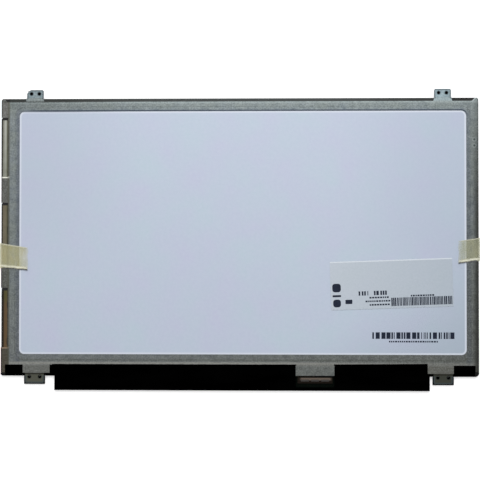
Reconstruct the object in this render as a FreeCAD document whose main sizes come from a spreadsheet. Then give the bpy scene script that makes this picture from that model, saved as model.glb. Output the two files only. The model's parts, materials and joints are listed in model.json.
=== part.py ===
"""A 15.6-inch slim laptop screen panel, lying face down with its rear side up.

The origin is the centre of the viewing area, on the front face. X runs along the panel's width, Y up its
height and Z from the front face to the rear. Every layer of the panel is stacked on the one in front of it,
and every piece takes its place from the viewing area, the four borders and the named clearances.
"""
import FreeCAD, Part
import os
import Sketcher

# The driving sizes in millimetres, each with the name of its cell
DIMENSIONS = {
    # Viewing area and the borders between it and the panel's outline
    "view_width": 344.2,
    "view_height": 193.5,
    "border_left": 8.25,
    "border_right": 7.85,
    "border_top": 6.35,
    "border_bottom": 9.65,
    # Layers, from the front to the rear
    "polariser_thickness": 0.2,
    "glass_thickness": 0.4,
    "diffuser_thickness": 0.1,
    "prism_thickness": 0.15,
    "light_guide_thickness": 0.7,
    "reflector_thickness": 0.2,
    "rim_tape_thickness": 0.1,
    # How far each sheet reaches past the viewing area
    "polariser_margin": 1.0,
    "polariser_margin_bottom": 1.4,
    "glass_margin": 3.2,
    "glass_margin_left": 2.1,
    "gate_ledge": 3.0,
    "source_ledge": 3.5,
    "glass_corner_cut": 1.0,
    "optical_margin": 0.9,
    "optical_tab_width": 9.0,
    "optical_tab_height": 1.1,
    "optical_tab_inset": 52.0,
    "light_guide_margin": 2.2,
    "light_guide_margin_bottom": 2.5,
    "guide_notch_width": 6.0,
    "guide_notch_depth": 1.2,
    "guide_notch_drop": 58.0,
    # Clearances between pieces that fit into one another
    "fit_gap": 0.3,
    "sheet_gap": 0.2,
    # Rear frame
    "sheet_metal": 0.3,
    "bend_radius": 0.7,
    "window_inset_left": 5.75,
    "window_inset_right": 1.35,
    "window_inset_top": 3.15,
    "window_inset_bottom": 6.7,
    "window_radius": 4.0,
    "lip_width": 3.4,
    "lip_width_bottom": 4.4,
    "lip_step": 0.25,
    "frame_inset_top": 2.35,
    "frame_inset_bottom": 8.45,
    "side_strip_width": 5.65,
    "side_strip_drop": 0.35,
    "side_leg_width_left": 3.35,
    "side_leg_width_right": 2.65,
    "side_leg_inset_left": 2.4,
    "side_leg_inset_right": 3.6,
    "corner_leg_width_left": 2.4,
    "corner_leg_width_right": 2.65,
    "corner_trim": 1.2,
    "wall_front_inset": 0.4,
    "dimple_radius": 1.0,
    "dimple_depth": 0.12,
    "dimple_inset": 3.2,
    "dimple_pitch": 4.5,
    "dimple_drop": 31.45,
    # Mounting ears
    "ear_inset_left": 25.75,
    "ear_inset_right": 26.75,
    "ear_drop": 1.15,
    "ear_hole_radius": 1.15,
    "ear_corner_radius": 1.2,
    "top_ear_width": 12.6,
    "top_ear_height": 6.85,
    "top_ear_base_flare": 0.8,
    "top_ear_hole_pitch": 5.9,
    "top_ear_hole_rise": 3.95,
    "top_ear_chamfer": 2.7,
    "bottom_ear_width": 14.3,
    "bottom_ear_height": 5.5,
    "bottom_ear_hole_pitch": 8.0,
    "bottom_ear_hole_rise": 0.8,
    "ear_plate_inset": 2.25,
    "ear_plate_outer_side_left": 1.6,
    "ear_plate_outer_side_right": 0.6,
    "ear_plate_inner_side": 4.5,
    # Moulded frame
    "mould_corner_radius_left": 2.0,
    "mould_corner_radius_right": 3.0,
    "bottom_ridge_width": 3.0,
    # Flexible films and their driver chips
    "film_thickness": 0.1,
    "fold_radius": 0.5,
    "gate_cutout_length": 45.0,
    "gate_film_gap": 0.5,
    "gate_row_shift": 1.9,
    "source_film_width": 40.0,
    "source_film_overlap": 2.4,
    "driver_length": 15.0,
    "driver_width": 1.1,
    "driver_height": 0.4,
    # Circuit board
    "board_inset_left": 41.35,
    "board_inset_right": 37.25,
    "board_height": 10.1,
    "board_thickness": 0.6,
    "board_gap": 0.45,
    "board_corner_radius": 0.8,
    "chip_height": 0.8,
    "timing_chip_side": 6.5,
    "power_chip_side": 5.0,
    "backlight_chip_side": 4.0,
    "memory_chip_length": 4.9,
    "memory_chip_width": 3.9,
    "chip_edge": 0.1,
    "inductor_side": 4.0,
    "inductor_height": 1.1,
    "inductor_pitch": 7.0,
    "inductor_corner_radius": 0.8,
    "capacitor_length": 1.6,
    "capacitor_width": 0.8,
    "capacitor_height": 0.7,
    "capacitor_row_inset": 23.1,
    "capacitor_clearance": 2.0,
    # Signal connector
    "connector_inset": 122.7,
    "connector_width": 26.2,
    "connector_depth": 4.4,
    "connector_height": 1.1,
    "connector_wall": 0.25,
    "connector_end": 1.6,
    "connector_set_back": 0.4,
    "contact_pitch": 0.5,
    "contact_width": 0.22,
    "contact_thickness": 0.1,
    "contact_bow": 0.25,
    "shell_thickness": 0.12,
    "connector_tab_width": 29.0,
    "connector_tab_inset": 0.65,
    "connector_cutout_drop": 8.9,
    # Backlight strip
    "led_length": 3.8,
    "led_depth": 1.0,
    "led_gap": 0.15,
    "led_foot_gap": 0.05,
    "strip_thickness": 0.12,
    "strip_height": 5.6,
    "strip_overlap": 1.5,
    "tail_width": 8.0,
    "tail_inset": 20.0,
    "tail_reach": 3.0,
    "tail_post": 1.2,
    # Black film round the board
    "wrap_overhang": 0.4,
    "wrap_shoulder_inset": 0.55,
    "wrap_overlap": 1.5,
    # Tapes and label
    "tape_thickness": 0.06,
    "tape_left_width": 17.6,
    "tape_left_reach": 21.2,
    "tape_left_drop": 16.6,
    "tape_left_slant": 3.0,
    "tape_right_width": 16.4,
    "tape_right_reach": 15.8,
    "tape_right_drop": 11.9,
    "tape_right_slant": 2.2,
    "tape_tear": 2.4,
    "label_width": 91.8,
    "label_height": 36.5,
    "label_thickness": 0.08,
    "label_inset_right": 9.45,
    "label_rise": 33.15,
}
GATE_FILM_COUNT = 3
SOURCE_FILM_COUNT = 4
LED_COUNT = 48
CONTACT_COUNT = 40
LEFT_CAPACITOR_COUNT = 12
RIGHT_CAPACITOR_COUNT = 4
# Turn of the label in degrees, and the share of the black film's thickness that its folds take as a radius
LABEL_TURN = 2.0
WRAP_FOLD_SHARE = 0.9


class Size:
    """A length that carries its formula over the sheet's cells beside its present value."""

    def __init__(self, formula, value):
        self.formula = formula
        self.value = value

    @staticmethod
    def of(item):
        return item if isinstance(item, Size) else Size(f"({item})", float(item))

    def __add__(self, other):
        other = Size.of(other)
        return Size(f"({self.formula} + {other.formula})", self.value + other.value)

    def __sub__(self, other):
        other = Size.of(other)
        return Size(f"({self.formula} - {other.formula})", self.value - other.value)

    def __mul__(self, factor):
        return Size(f"({self.formula} * {factor})", self.value * factor)

    def __truediv__(self, factor):
        return Size(f"({self.formula} / {factor})", self.value / factor)

    def __neg__(self):
        return Size(f"(-1 * {self.formula})", -self.value)


doc = FreeCAD.newDocument("LaptopScreenPanel")
sheet = doc.addObject("Spreadsheet::Sheet", "Dims")
for row, (alias, number) in enumerate(DIMENSIONS.items(), start=1):
    sheet.set(f"A{row}", alias)
    sheet.set(f"B{row}", str(number))
    sheet.setAlias(f"B{row}", alias)
doc.recompute()


def size(alias):
    """The size that one cell of the sheet holds."""
    return Size(f"Dims.{alias}", float(sheet.get(alias)))


# Edges of the viewing area, the outline and the window in the rear frame
view_left = -size("view_width") / 2
view_right = size("view_width") / 2
view_bottom = -size("view_height") / 2
view_top = size("view_height") / 2
left = view_left - size("border_left")
right = view_right + size("border_right")
bottom = view_bottom - size("border_bottom")
top = view_top + size("border_top")
window_left = view_left + size("window_inset_left")
window_right = view_right - size("window_inset_right")
window_bottom = view_bottom + size("window_inset_bottom")
window_top = view_top - size("window_inset_top")

# Heights of the layers above the front face
front = Size.of(0)
filter_front = size("polariser_thickness")
tft_front = filter_front + size("glass_thickness")
tft_rear = tft_front + size("glass_thickness")
shelf_front = tft_rear + size("polariser_thickness")
upper_prism_front = shelf_front + size("diffuser_thickness")
lower_prism_front = upper_prism_front + size("prism_thickness")
lower_diffuser_front = lower_prism_front + size("prism_thickness")
guide_front = lower_diffuser_front + size("diffuser_thickness")
guide_rear = guide_front + size("light_guide_thickness")
reflector_rear = guide_rear + size("reflector_thickness")
flange_front = reflector_rear + size("lip_step")
flange_rear = flange_front + size("sheet_metal")
strip_front = flange_front - size("side_strip_drop")
ear_front = flange_front - size("ear_drop")

# Edges of the glass, the light guide and the moulded frame
glass_left = view_left - size("glass_margin_left")
glass_right = view_right + size("glass_margin")
glass_top = view_top + size("glass_margin")
glass_bottom = view_bottom - size("glass_margin")
tft_left = glass_left - size("gate_ledge")
tft_bottom = glass_bottom - size("source_ledge")
guide_left = view_left - size("light_guide_margin")
guide_right = view_right + size("light_guide_margin")
guide_top = view_top + size("light_guide_margin")
guide_bottom = view_bottom - size("light_guide_margin_bottom")
mould_left = left + size("sheet_metal") + size("bend_radius")
mould_right = right - size("sheet_metal") - size("bend_radius")
frame_top = top - size("frame_inset_top")
frame_bottom = bottom + size("frame_inset_bottom")
strip_edge = left + size("side_strip_width")

# Ears, circuit board and connector
ear_left = left + size("ear_inset_left")
ear_right = right - size("ear_inset_right")
board_left = left + size("board_inset_left")
board_right = right - size("board_inset_right")
board_top = bottom - size("board_gap")
board_bottom = board_top - size("board_height")
board_front = tft_front
board_rear = board_front + size("board_thickness")
connector_middle = right - size("connector_inset")
tail_middle = board_left + size("tail_inset")
strip_top = guide_bottom + size("strip_overlap")
ridge_top = bottom + size("bottom_ridge_width")


def rectangle(x, y):
    """The four corners of a rectangle between two X and two Y places."""
    return [(x[0], y[0]), (x[1], y[0]), (x[1], y[1]), (x[0], y[1])]


def around(middle, width):
    """The two ends of a width that is centred on a place."""
    return (middle - width / 2, middle + width / 2)


def new_body(label):
    body = doc.addObject("PartDesign::Body", label)
    body.Label = label
    return body


def new_sketch(body, name, plane, level):
    """A sketch on one of the body's own planes, lifted to a level along the plane's normal."""
    sketch = body.newObject("Sketcher::SketchObject", name)
    base = next(item for item in body.Origin.OriginFeatures if item.Role == plane)
    sketch.AttachmentSupport = (base, [""])
    sketch.MapMode = "FlatFace"
    sketch.setExpression("AttachmentOffset.Base.z", level.formula)
    return sketch


def hold(sketch, kind, places, amount):
    """Add a driving constraint and bind it to the sheet."""
    index = sketch.addConstraint(Sketcher.Constraint(kind, *places, amount.value))
    sketch.setExpression(f"Constraints[{index}]", amount.formula)


def draw_loop(sketch, corners):
    """Draw a closed outline of straight edges with both coordinates of every corner bound."""
    first = sketch.GeometryCount
    points = [FreeCAD.Vector(x.value, y.value, 0) for x, y in corners]
    for here, there in zip(points, points[1:] + points[:1]):
        sketch.addGeometry(Part.LineSegment(here, there))
    for step in range(len(corners)):
        following = first + (step + 1) % len(corners)
        sketch.addConstraint(Sketcher.Constraint("Coincident", first + step, 2, following, 1))
    for step, (x, y) in enumerate(corners):
        hold(sketch, "DistanceX", (-1, 1, first + step, 1), x)
        hold(sketch, "DistanceY", (-1, 1, first + step, 1), y)


def draw_circle(sketch, x, y, radius):
    circle = Part.Circle(FreeCAD.Vector(x.value, y.value, 0), FreeCAD.Vector(0, 0, 1), radius.value)
    index = sketch.addGeometry(circle)
    hold(sketch, "DistanceX", (-1, 1, index, 3), x)
    hold(sketch, "DistanceY", (-1, 1, index, 3), y)
    hold(sketch, "Radius", (index,), radius)


def pad(body, name, loops, span, plane="XY_Plane"):
    """Add material over closed outlines, between two levels along the plane's normal."""
    sketch = new_sketch(body, f"{name}_sketch", plane, span[0])
    for loop in loops:
        draw_loop(sketch, loop)
    feature = body.newObject("PartDesign::Pad", name)
    feature.Profile = sketch
    feature.setExpression("Length", (span[1] - span[0]).formula)
    doc.recompute()
    return feature


def cut(body, sketch, name, depth):
    """Remove material from a sketch's plane along its normal, and make sure that some went."""
    before = body.Shape.Volume
    feature = body.newObject("PartDesign::Pocket", name)
    feature.Profile = sketch
    feature.Reversed = True
    feature.setExpression("Length", depth.formula)
    doc.recompute()
    if not body.Shape.Volume < before:
        raise RuntimeError(f"{name} removes nothing from {body.Label}")
    return feature


def pocket(body, name, loops, span, plane="XY_Plane"):
    """Remove material inside closed outlines, between two levels along the plane's normal."""
    sketch = new_sketch(body, f"{name}_sketch", plane, span[0])
    for loop in loops:
        draw_loop(sketch, loop)
    return cut(body, sketch, name, span[1] - span[0])


def drill(body, name, centres, radius, span):
    """Remove round holes along Z between two levels."""
    sketch = new_sketch(body, f"{name}_sketch", "XY_Plane", span[0])
    for x, y in centres:
        draw_circle(sketch, x, y, radius)
    return cut(body, sketch, name, span[1] - span[0])


def edges_where(shape, wanted):
    """Names of the edges whose ends all pass a test."""
    return [
        f"Edge{number}"
        for number, edge in enumerate(shape.Edges, start=1)
        if len(edge.Vertexes) == 2 and all(wanted(vertex.Point) for vertex in edge.Vertexes)
    ]


def near(here, there):
    return abs(here - there.value) < 1e-4


def corner_edges(shape, corners):
    """Names of the upright edges that stand on given corners of a plan."""
    names = []
    for x, y in corners:
        names += edges_where(shape, lambda point: near(point.x, x) and near(point.y, y))
    return names


def long_edges(shape, x, z):
    """Names of the edges that run along Y at a given X and Z."""
    return edges_where(shape, lambda point: near(point.x, x) and near(point.z, z))


def cross_edges(shape, y, z):
    """Names of the edges that run along X at a given Y and Z."""
    return edges_where(shape, lambda point: near(point.y, y) and near(point.z, z))


def dress(body, kind, name, edges, amount):
    """Round or chamfer edges of a body."""
    if not edges:
        raise RuntimeError(f"{name} finds no edge on {body.Label}")
    feature = body.newObject(f"PartDesign::{kind}", name)
    feature.Base = (body.Tip if body.Tip != feature else feature.BaseFeature, edges)
    feature.setExpression("Radius" if kind == "Fillet" else "Size", amount.formula)
    doc.recompute()
    return feature


def fillet(body, name, edges, radius):
    return dress(body, "Fillet", name, edges, radius)


def chamfer(body, name, edges, width):
    return dress(body, "Chamfer", name, edges, width)


def pattern(body, feature, axis, length, count):
    """Repeat a feature along one axis of its own sketch."""
    row = body.newObject("PartDesign::LinearPattern", f"{feature.Name}_row")
    row.Originals = [feature]
    row.Direction = (feature.Profile[0], [axis])
    row.setExpression("Length", length.formula)
    row.Occurrences = count
    body.Tip = row
    doc.recompute()


def plate(label, x, y, z):
    """A plain flat sheet between two places on each axis."""
    box = doc.addObject("Part::Box", label)
    box.Label = label
    for edge, axis, (low, high) in (("Length", "x", x), ("Width", "y", y), ("Height", "z", z)):
        box.setExpression(edge, (high - low).formula)
        box.setExpression(f"Placement.Base.{axis}", low.formula)
    return box


def build_cell():
    """The two glasses and their polarisers, with ledges at the left and bottom for the films."""
    margin = size("polariser_margin")
    polariser_x = (view_left - margin, view_right + margin)
    polariser_y = (view_bottom - size("polariser_margin_bottom"), view_top + margin)
    glass_x = (glass_left, glass_right)
    glass_y = (glass_bottom, glass_top)
    front_sheet = plate("front_polariser", polariser_x, polariser_y, (front, filter_front))
    filter_glass = plate("colour_filter_glass", glass_x, glass_y, (filter_front, tft_front))
    rear_sheet = plate("rear_polariser", polariser_x, polariser_y, (tft_rear, shelf_front))
    tft = new_body("tft_glass")
    corner = (tft_left, tft_bottom)
    tft_plan = rectangle((tft_left, glass_right), (tft_bottom, glass_top))
    pad(tft, "tft_blank", [tft_plan], (tft_front, tft_rear))
    chamfer(tft, "tft_corner", corner_edges(tft.Shape, [corner]), size("glass_corner_cut"))
    return [front_sheet, filter_glass, tft, rear_sheet]


def ring(label, outer, inner, span):
    """A flat border cut from sheet."""
    body = new_body(label)
    pad(body, f"{label}_pad", [outer, inner], span)
    return body


def build_border_tapes():
    """Black tape round the front border, and the gasket tape that seats the cell on the moulded shelf."""
    gap = size("sheet_gap")
    margin = size("polariser_margin") + gap
    inner = rectangle(
        (view_left - margin, view_right + margin),
        (view_bottom - size("polariser_margin_bottom") - gap, view_top + margin),
    )
    rim = rectangle((mould_left, mould_right), (bottom + gap, top - gap))
    seat = rectangle((tft_left + gap, glass_right - gap), (tft_bottom + gap, glass_top - gap))
    return [
        ring("front_rim_tape", rim, inner, (filter_front - size("rim_tape_thickness"), filter_front)),
        ring("glass_seat_tape", seat, inner, (tft_rear, shelf_front)),
    ]


def optical_places():
    """Edges of the optical sheets and the middles of the two tabs on their upper edge."""
    margin = size("optical_margin")
    inset = size("optical_tab_inset")
    return (
        (view_left - margin, view_right + margin),
        (view_bottom - margin, view_top + margin),
        (view_left + inset, view_right - inset),
    )


def tabbed_outline(clearance):
    """Outline of an optical sheet with its two locating tabs, grown by a clearance."""
    (x_low, x_high), (y_low, y_high), tabs = optical_places()
    edge = y_high + clearance
    corners = [(x_low - clearance, y_low - clearance), (x_high + clearance, y_low - clearance)]
    corners.append((x_high + clearance, edge))
    for middle in reversed(tabs):
        tab_left, tab_right = around(middle, size("optical_tab_width") + clearance * 2)
        crest = edge + size("optical_tab_height")
        corners += [(tab_right, edge), (tab_right, crest), (tab_left, crest), (tab_left, edge)]
    corners.append((x_low - clearance, edge))
    return corners


def build_optical_sheets():
    """Two diffusers with two prism sheets between them."""
    layers = {
        "upper_diffuser": (shelf_front, upper_prism_front),
        "upper_prism_sheet": (upper_prism_front, lower_prism_front),
        "lower_prism_sheet": (lower_prism_front, lower_diffuser_front),
        "lower_diffuser": (lower_diffuser_front, guide_front),
    }
    sheets = []
    for label, span in layers.items():
        body = new_body(label)
        pad(body, f"{label}_pad", [tabbed_outline(Size.of(0))], span)
        sheets.append(body)
    return sheets


def guide_outline(clearance):
    """Outline of the light guide with a locating notch in each side, grown by a clearance."""
    x_low = guide_left - clearance
    x_high = guide_right + clearance
    depth = size("guide_notch_depth")
    notch_low, notch_high = around(-size("guide_notch_drop"), size("guide_notch_width") - clearance * 2)
    return [
        (x_low, guide_bottom - clearance),
        (x_high, guide_bottom - clearance),
        (x_high, notch_low),
        (x_high - depth, notch_low),
        (x_high - depth, notch_high),
        (x_high, notch_high),
        (x_high, guide_top + clearance),
        (x_low, guide_top + clearance),
        (x_low, notch_high),
        (x_low + depth, notch_high),
        (x_low + depth, notch_low),
        (x_low, notch_low),
    ]


def build_backlight():
    """Light guide, reflector, and the strip of light-emitting diodes along the lower edge."""
    guide = new_body("light_guide_plate")
    pad(guide, "guide_plate", [guide_outline(Size.of(0))], (guide_front, guide_rear))

    reflector_y = (strip_top + size("sheet_gap"), guide_top)
    reflector_z = (guide_rear, reflector_rear)
    reflector = plate("reflector_sheet", (guide_left, guide_right), reflector_y, reflector_z)

    strip = new_body("led_strip")
    strip_bottom = strip_top - size("strip_height")
    tail_end = board_top - size("tail_reach")
    tail_left, tail_right = around(tail_middle, size("tail_width"))
    strip_outline = [
        (view_left, strip_bottom),
        (tail_left, strip_bottom),
        (tail_left, tail_end),
        (tail_right, tail_end),
        (tail_right, strip_bottom),
        (view_right, strip_bottom),
        (view_right, strip_top),
        (view_left, strip_top),
    ]
    pad(strip, "strip_film", [strip_outline], (guide_rear, guide_rear + size("strip_thickness")))

    leds = new_body("led_packages")
    led_top = guide_bottom - size("led_gap")
    led_pitch = size("view_width") / LED_COUNT
    led_x = around(view_left + led_pitch / 2, size("led_length"))
    led_foot = guide_front + size("led_foot_gap")
    led_plan = rectangle(led_x, (led_top - size("led_depth"), led_top))
    package = pad(leds, "led_package", [led_plan], (led_foot, guide_rear))
    pattern(leds, package, "H_Axis", size("view_width") - led_pitch, LED_COUNT)
    return [guide, reflector, strip, leds]


def gate_middles():
    """Middles of the gate films along Y, one for each equal share of the picture's rows."""
    pitch = size("view_height") / GATE_FILM_COUNT
    middle = (GATE_FILM_COUNT - 1) / 2
    return [size("gate_row_shift") + pitch * (middle - step) for step in range(GATE_FILM_COUNT)]


def source_middles():
    """Middles of the source films along X, spread evenly over the circuit board."""
    pitch = (board_right - board_left) / SOURCE_FILM_COUNT
    return [board_left + pitch * (step + 0.5) for step in range(SOURCE_FILM_COUNT)]


def gate_driver_places():
    """X and Z places of the chips that hang under the folded ends of the gate films."""
    rail_middle = (mould_left + guide_left) / 2
    return around(rail_middle, size("driver_width")), (strip_front - size("driver_height"), strip_front)


def build_mould_frame():
    """Black moulded frame: a wall round the cell, a shelf behind it and a well for the backlight."""
    body = new_body("mould_frame")
    gap = size("fit_gap")
    foot_left = bottom + size("side_leg_inset_left") - gap
    foot_right = bottom + size("side_leg_inset_right") - gap
    outline = [
        (left, bottom),
        (right, bottom),
        (right, foot_right),
        (mould_right, foot_right),
        (mould_right, top),
        (mould_left, top),
        (mould_left, foot_left),
        (left, foot_left),
    ]
    pad(body, "mould_block", [outline], (filter_front, guide_rear))

    well = rectangle((tft_left - gap, glass_right + gap), (tft_bottom - gap, glass_top + gap))
    pocket(body, "cell_well", [well], (filter_front, shelf_front))
    film_left = board_left - size("wrap_overhang") - gap
    film_right = board_right + size("wrap_overhang") + gap
    channel = rectangle((film_left, film_right), (bottom - gap, tft_bottom))
    pocket(body, "source_film_channel", [channel], (filter_front, shelf_front))
    slots = [
        rectangle((mould_left - gap, tft_left), around(middle, size("gate_cutout_length")))
        for middle in gate_middles()
    ]
    pocket(body, "gate_film_slots", slots, (filter_front, tft_front + size("sheet_gap") / 2))
    pocket(body, "sheet_opening", [tabbed_outline(size("sheet_gap"))], (shelf_front, guide_front))
    pocket(body, "guide_well", [guide_outline(gap)], (guide_front, guide_rear))
    led_room = guide_bottom - size("led_gap") * 2 - size("led_depth")
    led_well = rectangle((view_left - gap, view_right + gap), (led_room, guide_bottom))
    pocket(body, "led_well", [led_well], (guide_front, guide_rear))

    rail_inner = guide_right + gap * 2
    rails = [
        (mould_left, guide_top + gap * 2),
        (rail_inner, guide_top + gap * 2),
        (rail_inner, frame_bottom),
        (mould_right, frame_bottom),
        (mould_right, top),
        (mould_left, top),
    ]
    pad(body, "upper_and_right_rails", [rails], (guide_rear, flange_front))
    side_rail = rectangle((mould_left, guide_left - gap), (frame_bottom, frame_top - gap * 2))
    corner_end = strip_edge + size("sheet_metal") + gap
    strip_corner = rectangle((mould_left - gap, corner_end), (guide_top, top + gap))
    pocket(body, "left_strip_seat", [strip_corner], (strip_front, flange_front))
    pad(body, "left_rail", [side_rail], (guide_rear, strip_front))
    ridge_left = left + size("side_leg_width_left") + gap
    ridge_right = right - size("side_leg_width_right") - gap
    ridge = [
        (left, bottom),
        (right, bottom),
        (right, foot_right),
        (ridge_right, foot_right),
        (ridge_right, ridge_top),
        (ridge_left, ridge_top),
        (ridge_left, foot_left),
        (left, foot_left),
    ]
    pad(body, "bottom_ridge", [ridge], (guide_rear, reflector_rear))

    tail_x = around(tail_middle, size("tail_width") + gap * 2)
    tail_notch = rectangle(tail_x, (bottom - gap, ridge_top + gap))
    pocket(body, "tail_notch", [tail_notch], (guide_rear, reflector_rear))
    notch_top = bottom + size("ear_plate_inset") + gap
    notches = [
        rectangle(around(middle, size("bottom_ear_width") + gap * 2), (bottom - gap, notch_top))
        for middle in (ear_left, ear_right)
    ]
    pocket(body, "ear_notches", notches, (ear_front - gap, reflector_rear))
    chip_x, chip_z = gate_driver_places()
    chip_beds = [
        rectangle((chip_x[0] - gap, chip_x[1] + gap), around(middle, size("driver_length") + gap * 2))
        for middle in gate_middles()
    ]
    pocket(body, "gate_chip_beds", chip_beds, (chip_z[0] - gap, strip_front))
    for side, x in (("left", left), ("right", right)):
        foot = corner_edges(body.Shape, [(x, bottom)])
        fillet(body, f"mould_corner_{side}", foot, size(f"mould_corner_radius_{side}"))
    return [body]


def build_films():
    """Flexible films from the glass ledges, each with the driver chip that it carries."""
    thickness = size("film_thickness")
    film_front = tft_front - thickness
    pieces = []
    inner_end = glass_left - size("fit_gap")
    outer = left + size("sheet_metal")
    rear_end = strip_edge - size("fit_gap") * 2
    profile = [
        (inner_end, film_front),
        (outer, film_front),
        (outer, strip_front + thickness),
        (rear_end, strip_front + thickness),
        (rear_end, strip_front),
        (outer + thickness, strip_front),
        (outer + thickness, tft_front),
        (inner_end, tft_front),
    ]
    chip_x, chip_z = gate_driver_places()
    for number, middle in enumerate(gate_middles(), start=1):
        low, high = around(middle, size("gate_cutout_length") - size("gate_film_gap") * 2)
        film = new_body(f"gate_film_{number}")
        pad(film, f"gate_fold_{number}", [profile], (-high, -low), "XZ_Plane")
        inside = long_edges(film.Shape, outer + thickness, tft_front)
        inside += long_edges(film.Shape, outer + thickness, strip_front)
        fillet(film, f"gate_inner_bend_{number}", inside, size("fold_radius"))
        outside = long_edges(film.Shape, outer, film_front)
        outside += long_edges(film.Shape, outer, strip_front + thickness)
        fillet(film, f"gate_outer_bend_{number}", outside, size("fold_radius") + thickness)
        chip = plate(f"gate_driver_{number}", chip_x, around(middle, size("driver_length")), chip_z)
        pieces += [film, chip]

    film_y = (board_top - size("source_film_overlap"), glass_bottom - size("fit_gap"))
    chip_y = around((tft_bottom + board_top) / 2, size("driver_width"))
    for number, middle in enumerate(source_middles(), start=1):
        film_x = around(middle, size("source_film_width"))
        film = plate(f"source_film_{number}", film_x, film_y, (film_front, tft_front))
        chip_x = around(middle, size("driver_length"))
        chip_z = (tft_front, tft_front + size("driver_height"))
        chip = plate(f"source_driver_{number}", chip_x, chip_y, chip_z)
        pieces += [film, chip]
    return pieces


def build_chip(label, x, y, height):
    """A chip package on the board with its upper edges eased."""
    body = new_body(label)
    crown = board_rear + height
    pad(body, f"{label}_block", [rectangle(x, y)], (board_rear, crown))
    upper = edges_where(body.Shape, lambda point: near(point.z, crown))
    chamfer(body, f"{label}_edge", upper, size("chip_edge"))
    return body


def build_board():
    """Circuit board along the lower edge, its parts on the rear side, clear of the signal plug's way."""
    board = new_body("timing_board")
    board_plan = rectangle((board_left, board_right), (board_bottom, board_top))
    pad(board, "board_blank", [board_plan], (board_front, board_rear))
    corners = [(board_left, board_bottom), (board_right, board_bottom)]
    fillet(board, "board_corners", corner_edges(board.Shape, corners), size("board_corner_radius"))

    capacitor_top = board_bottom + size("fit_gap") + size("capacitor_width")
    middle_y = (board_top + capacitor_top) / 2
    spread = (board_right - board_left) / 8
    middle_x = (board_left + board_right) / 2
    height = size("chip_height")
    timing = around(middle_x, size("timing_chip_side"))
    memory_x = around(middle_x - spread / 2, size("memory_chip_length"))
    power_x = around(board_right - spread, size("power_chip_side"))
    backlight_x = around(board_left + spread, size("backlight_chip_side"))
    chips = [
        build_chip("timing_controller", timing, around(middle_y, size("timing_chip_side")), height),
        build_chip("memory_chip", memory_x, around(middle_y, size("memory_chip_width")), height),
        build_chip("panel_power_chip", power_x, around(middle_y, size("power_chip_side")), height),
        build_chip("backlight_driver", backlight_x, around(middle_y, size("backlight_chip_side")), height),
    ]

    coils = new_body("power_inductors")
    coil_y = around(middle_y, size("inductor_side"))
    coil_rear = board_rear + size("inductor_height")
    coil_middles = (
        board_left + spread + size("inductor_pitch"),
        board_right - spread - size("inductor_pitch"),
    )
    coil_outlines = [rectangle(around(middle, size("inductor_side")), coil_y) for middle in coil_middles]
    pad(coils, "coil_blocks", coil_outlines, (board_rear, coil_rear))
    coil_corners = [corner for outline in coil_outlines for corner in outline]
    fillet(coils, "coil_corners", corner_edges(coils.Shape, coil_corners), size("inductor_corner_radius"))

    capacitors = new_body("board_capacitors")
    capacitor_y = (board_bottom + size("fit_gap"), capacitor_top)
    capacitor_z = (board_rear, board_rear + size("capacitor_height"))
    way_left, way_right = around(connector_middle, size("connector_width") + size("capacitor_clearance") * 2)
    rows = (
        ("left_capacitor", tail_middle + size("tail_width"), way_left, LEFT_CAPACITOR_COUNT),
        ("right_capacitor", way_right, board_right - size("capacitor_row_inset"), RIGHT_CAPACITOR_COUNT),
    )
    for name, row_left, row_right, count in rows:
        first_x = (row_left, row_left + size("capacitor_length"))
        first = pad(capacitors, name, [rectangle(first_x, capacitor_y)], capacitor_z)
        pattern(capacitors, first, "H_Axis", row_right - size("capacitor_length") - row_left, count)

    latch = new_body("backlight_connector")
    tail_x = around(tail_middle, size("tail_width") + size("sheet_gap") * 2)
    post = size("tail_post")
    latch_y = (board_top - size("tail_reach") - size("fit_gap"), board_top - size("fit_gap"))
    latch_plan = rectangle((tail_x[0] - post, tail_x[1] + post), latch_y)
    pad(latch, "latch_base", [latch_plan], (board_rear, guide_rear))
    posts = [
        rectangle((tail_x[0] - post, tail_x[0]), latch_y),
        rectangle((tail_x[1], tail_x[1] + post), latch_y),
    ]
    pad(latch, "latch_posts", posts, (guide_rear, guide_rear + size("strip_thickness")))
    return [board, *chips, coils, capacitors, latch]


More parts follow.
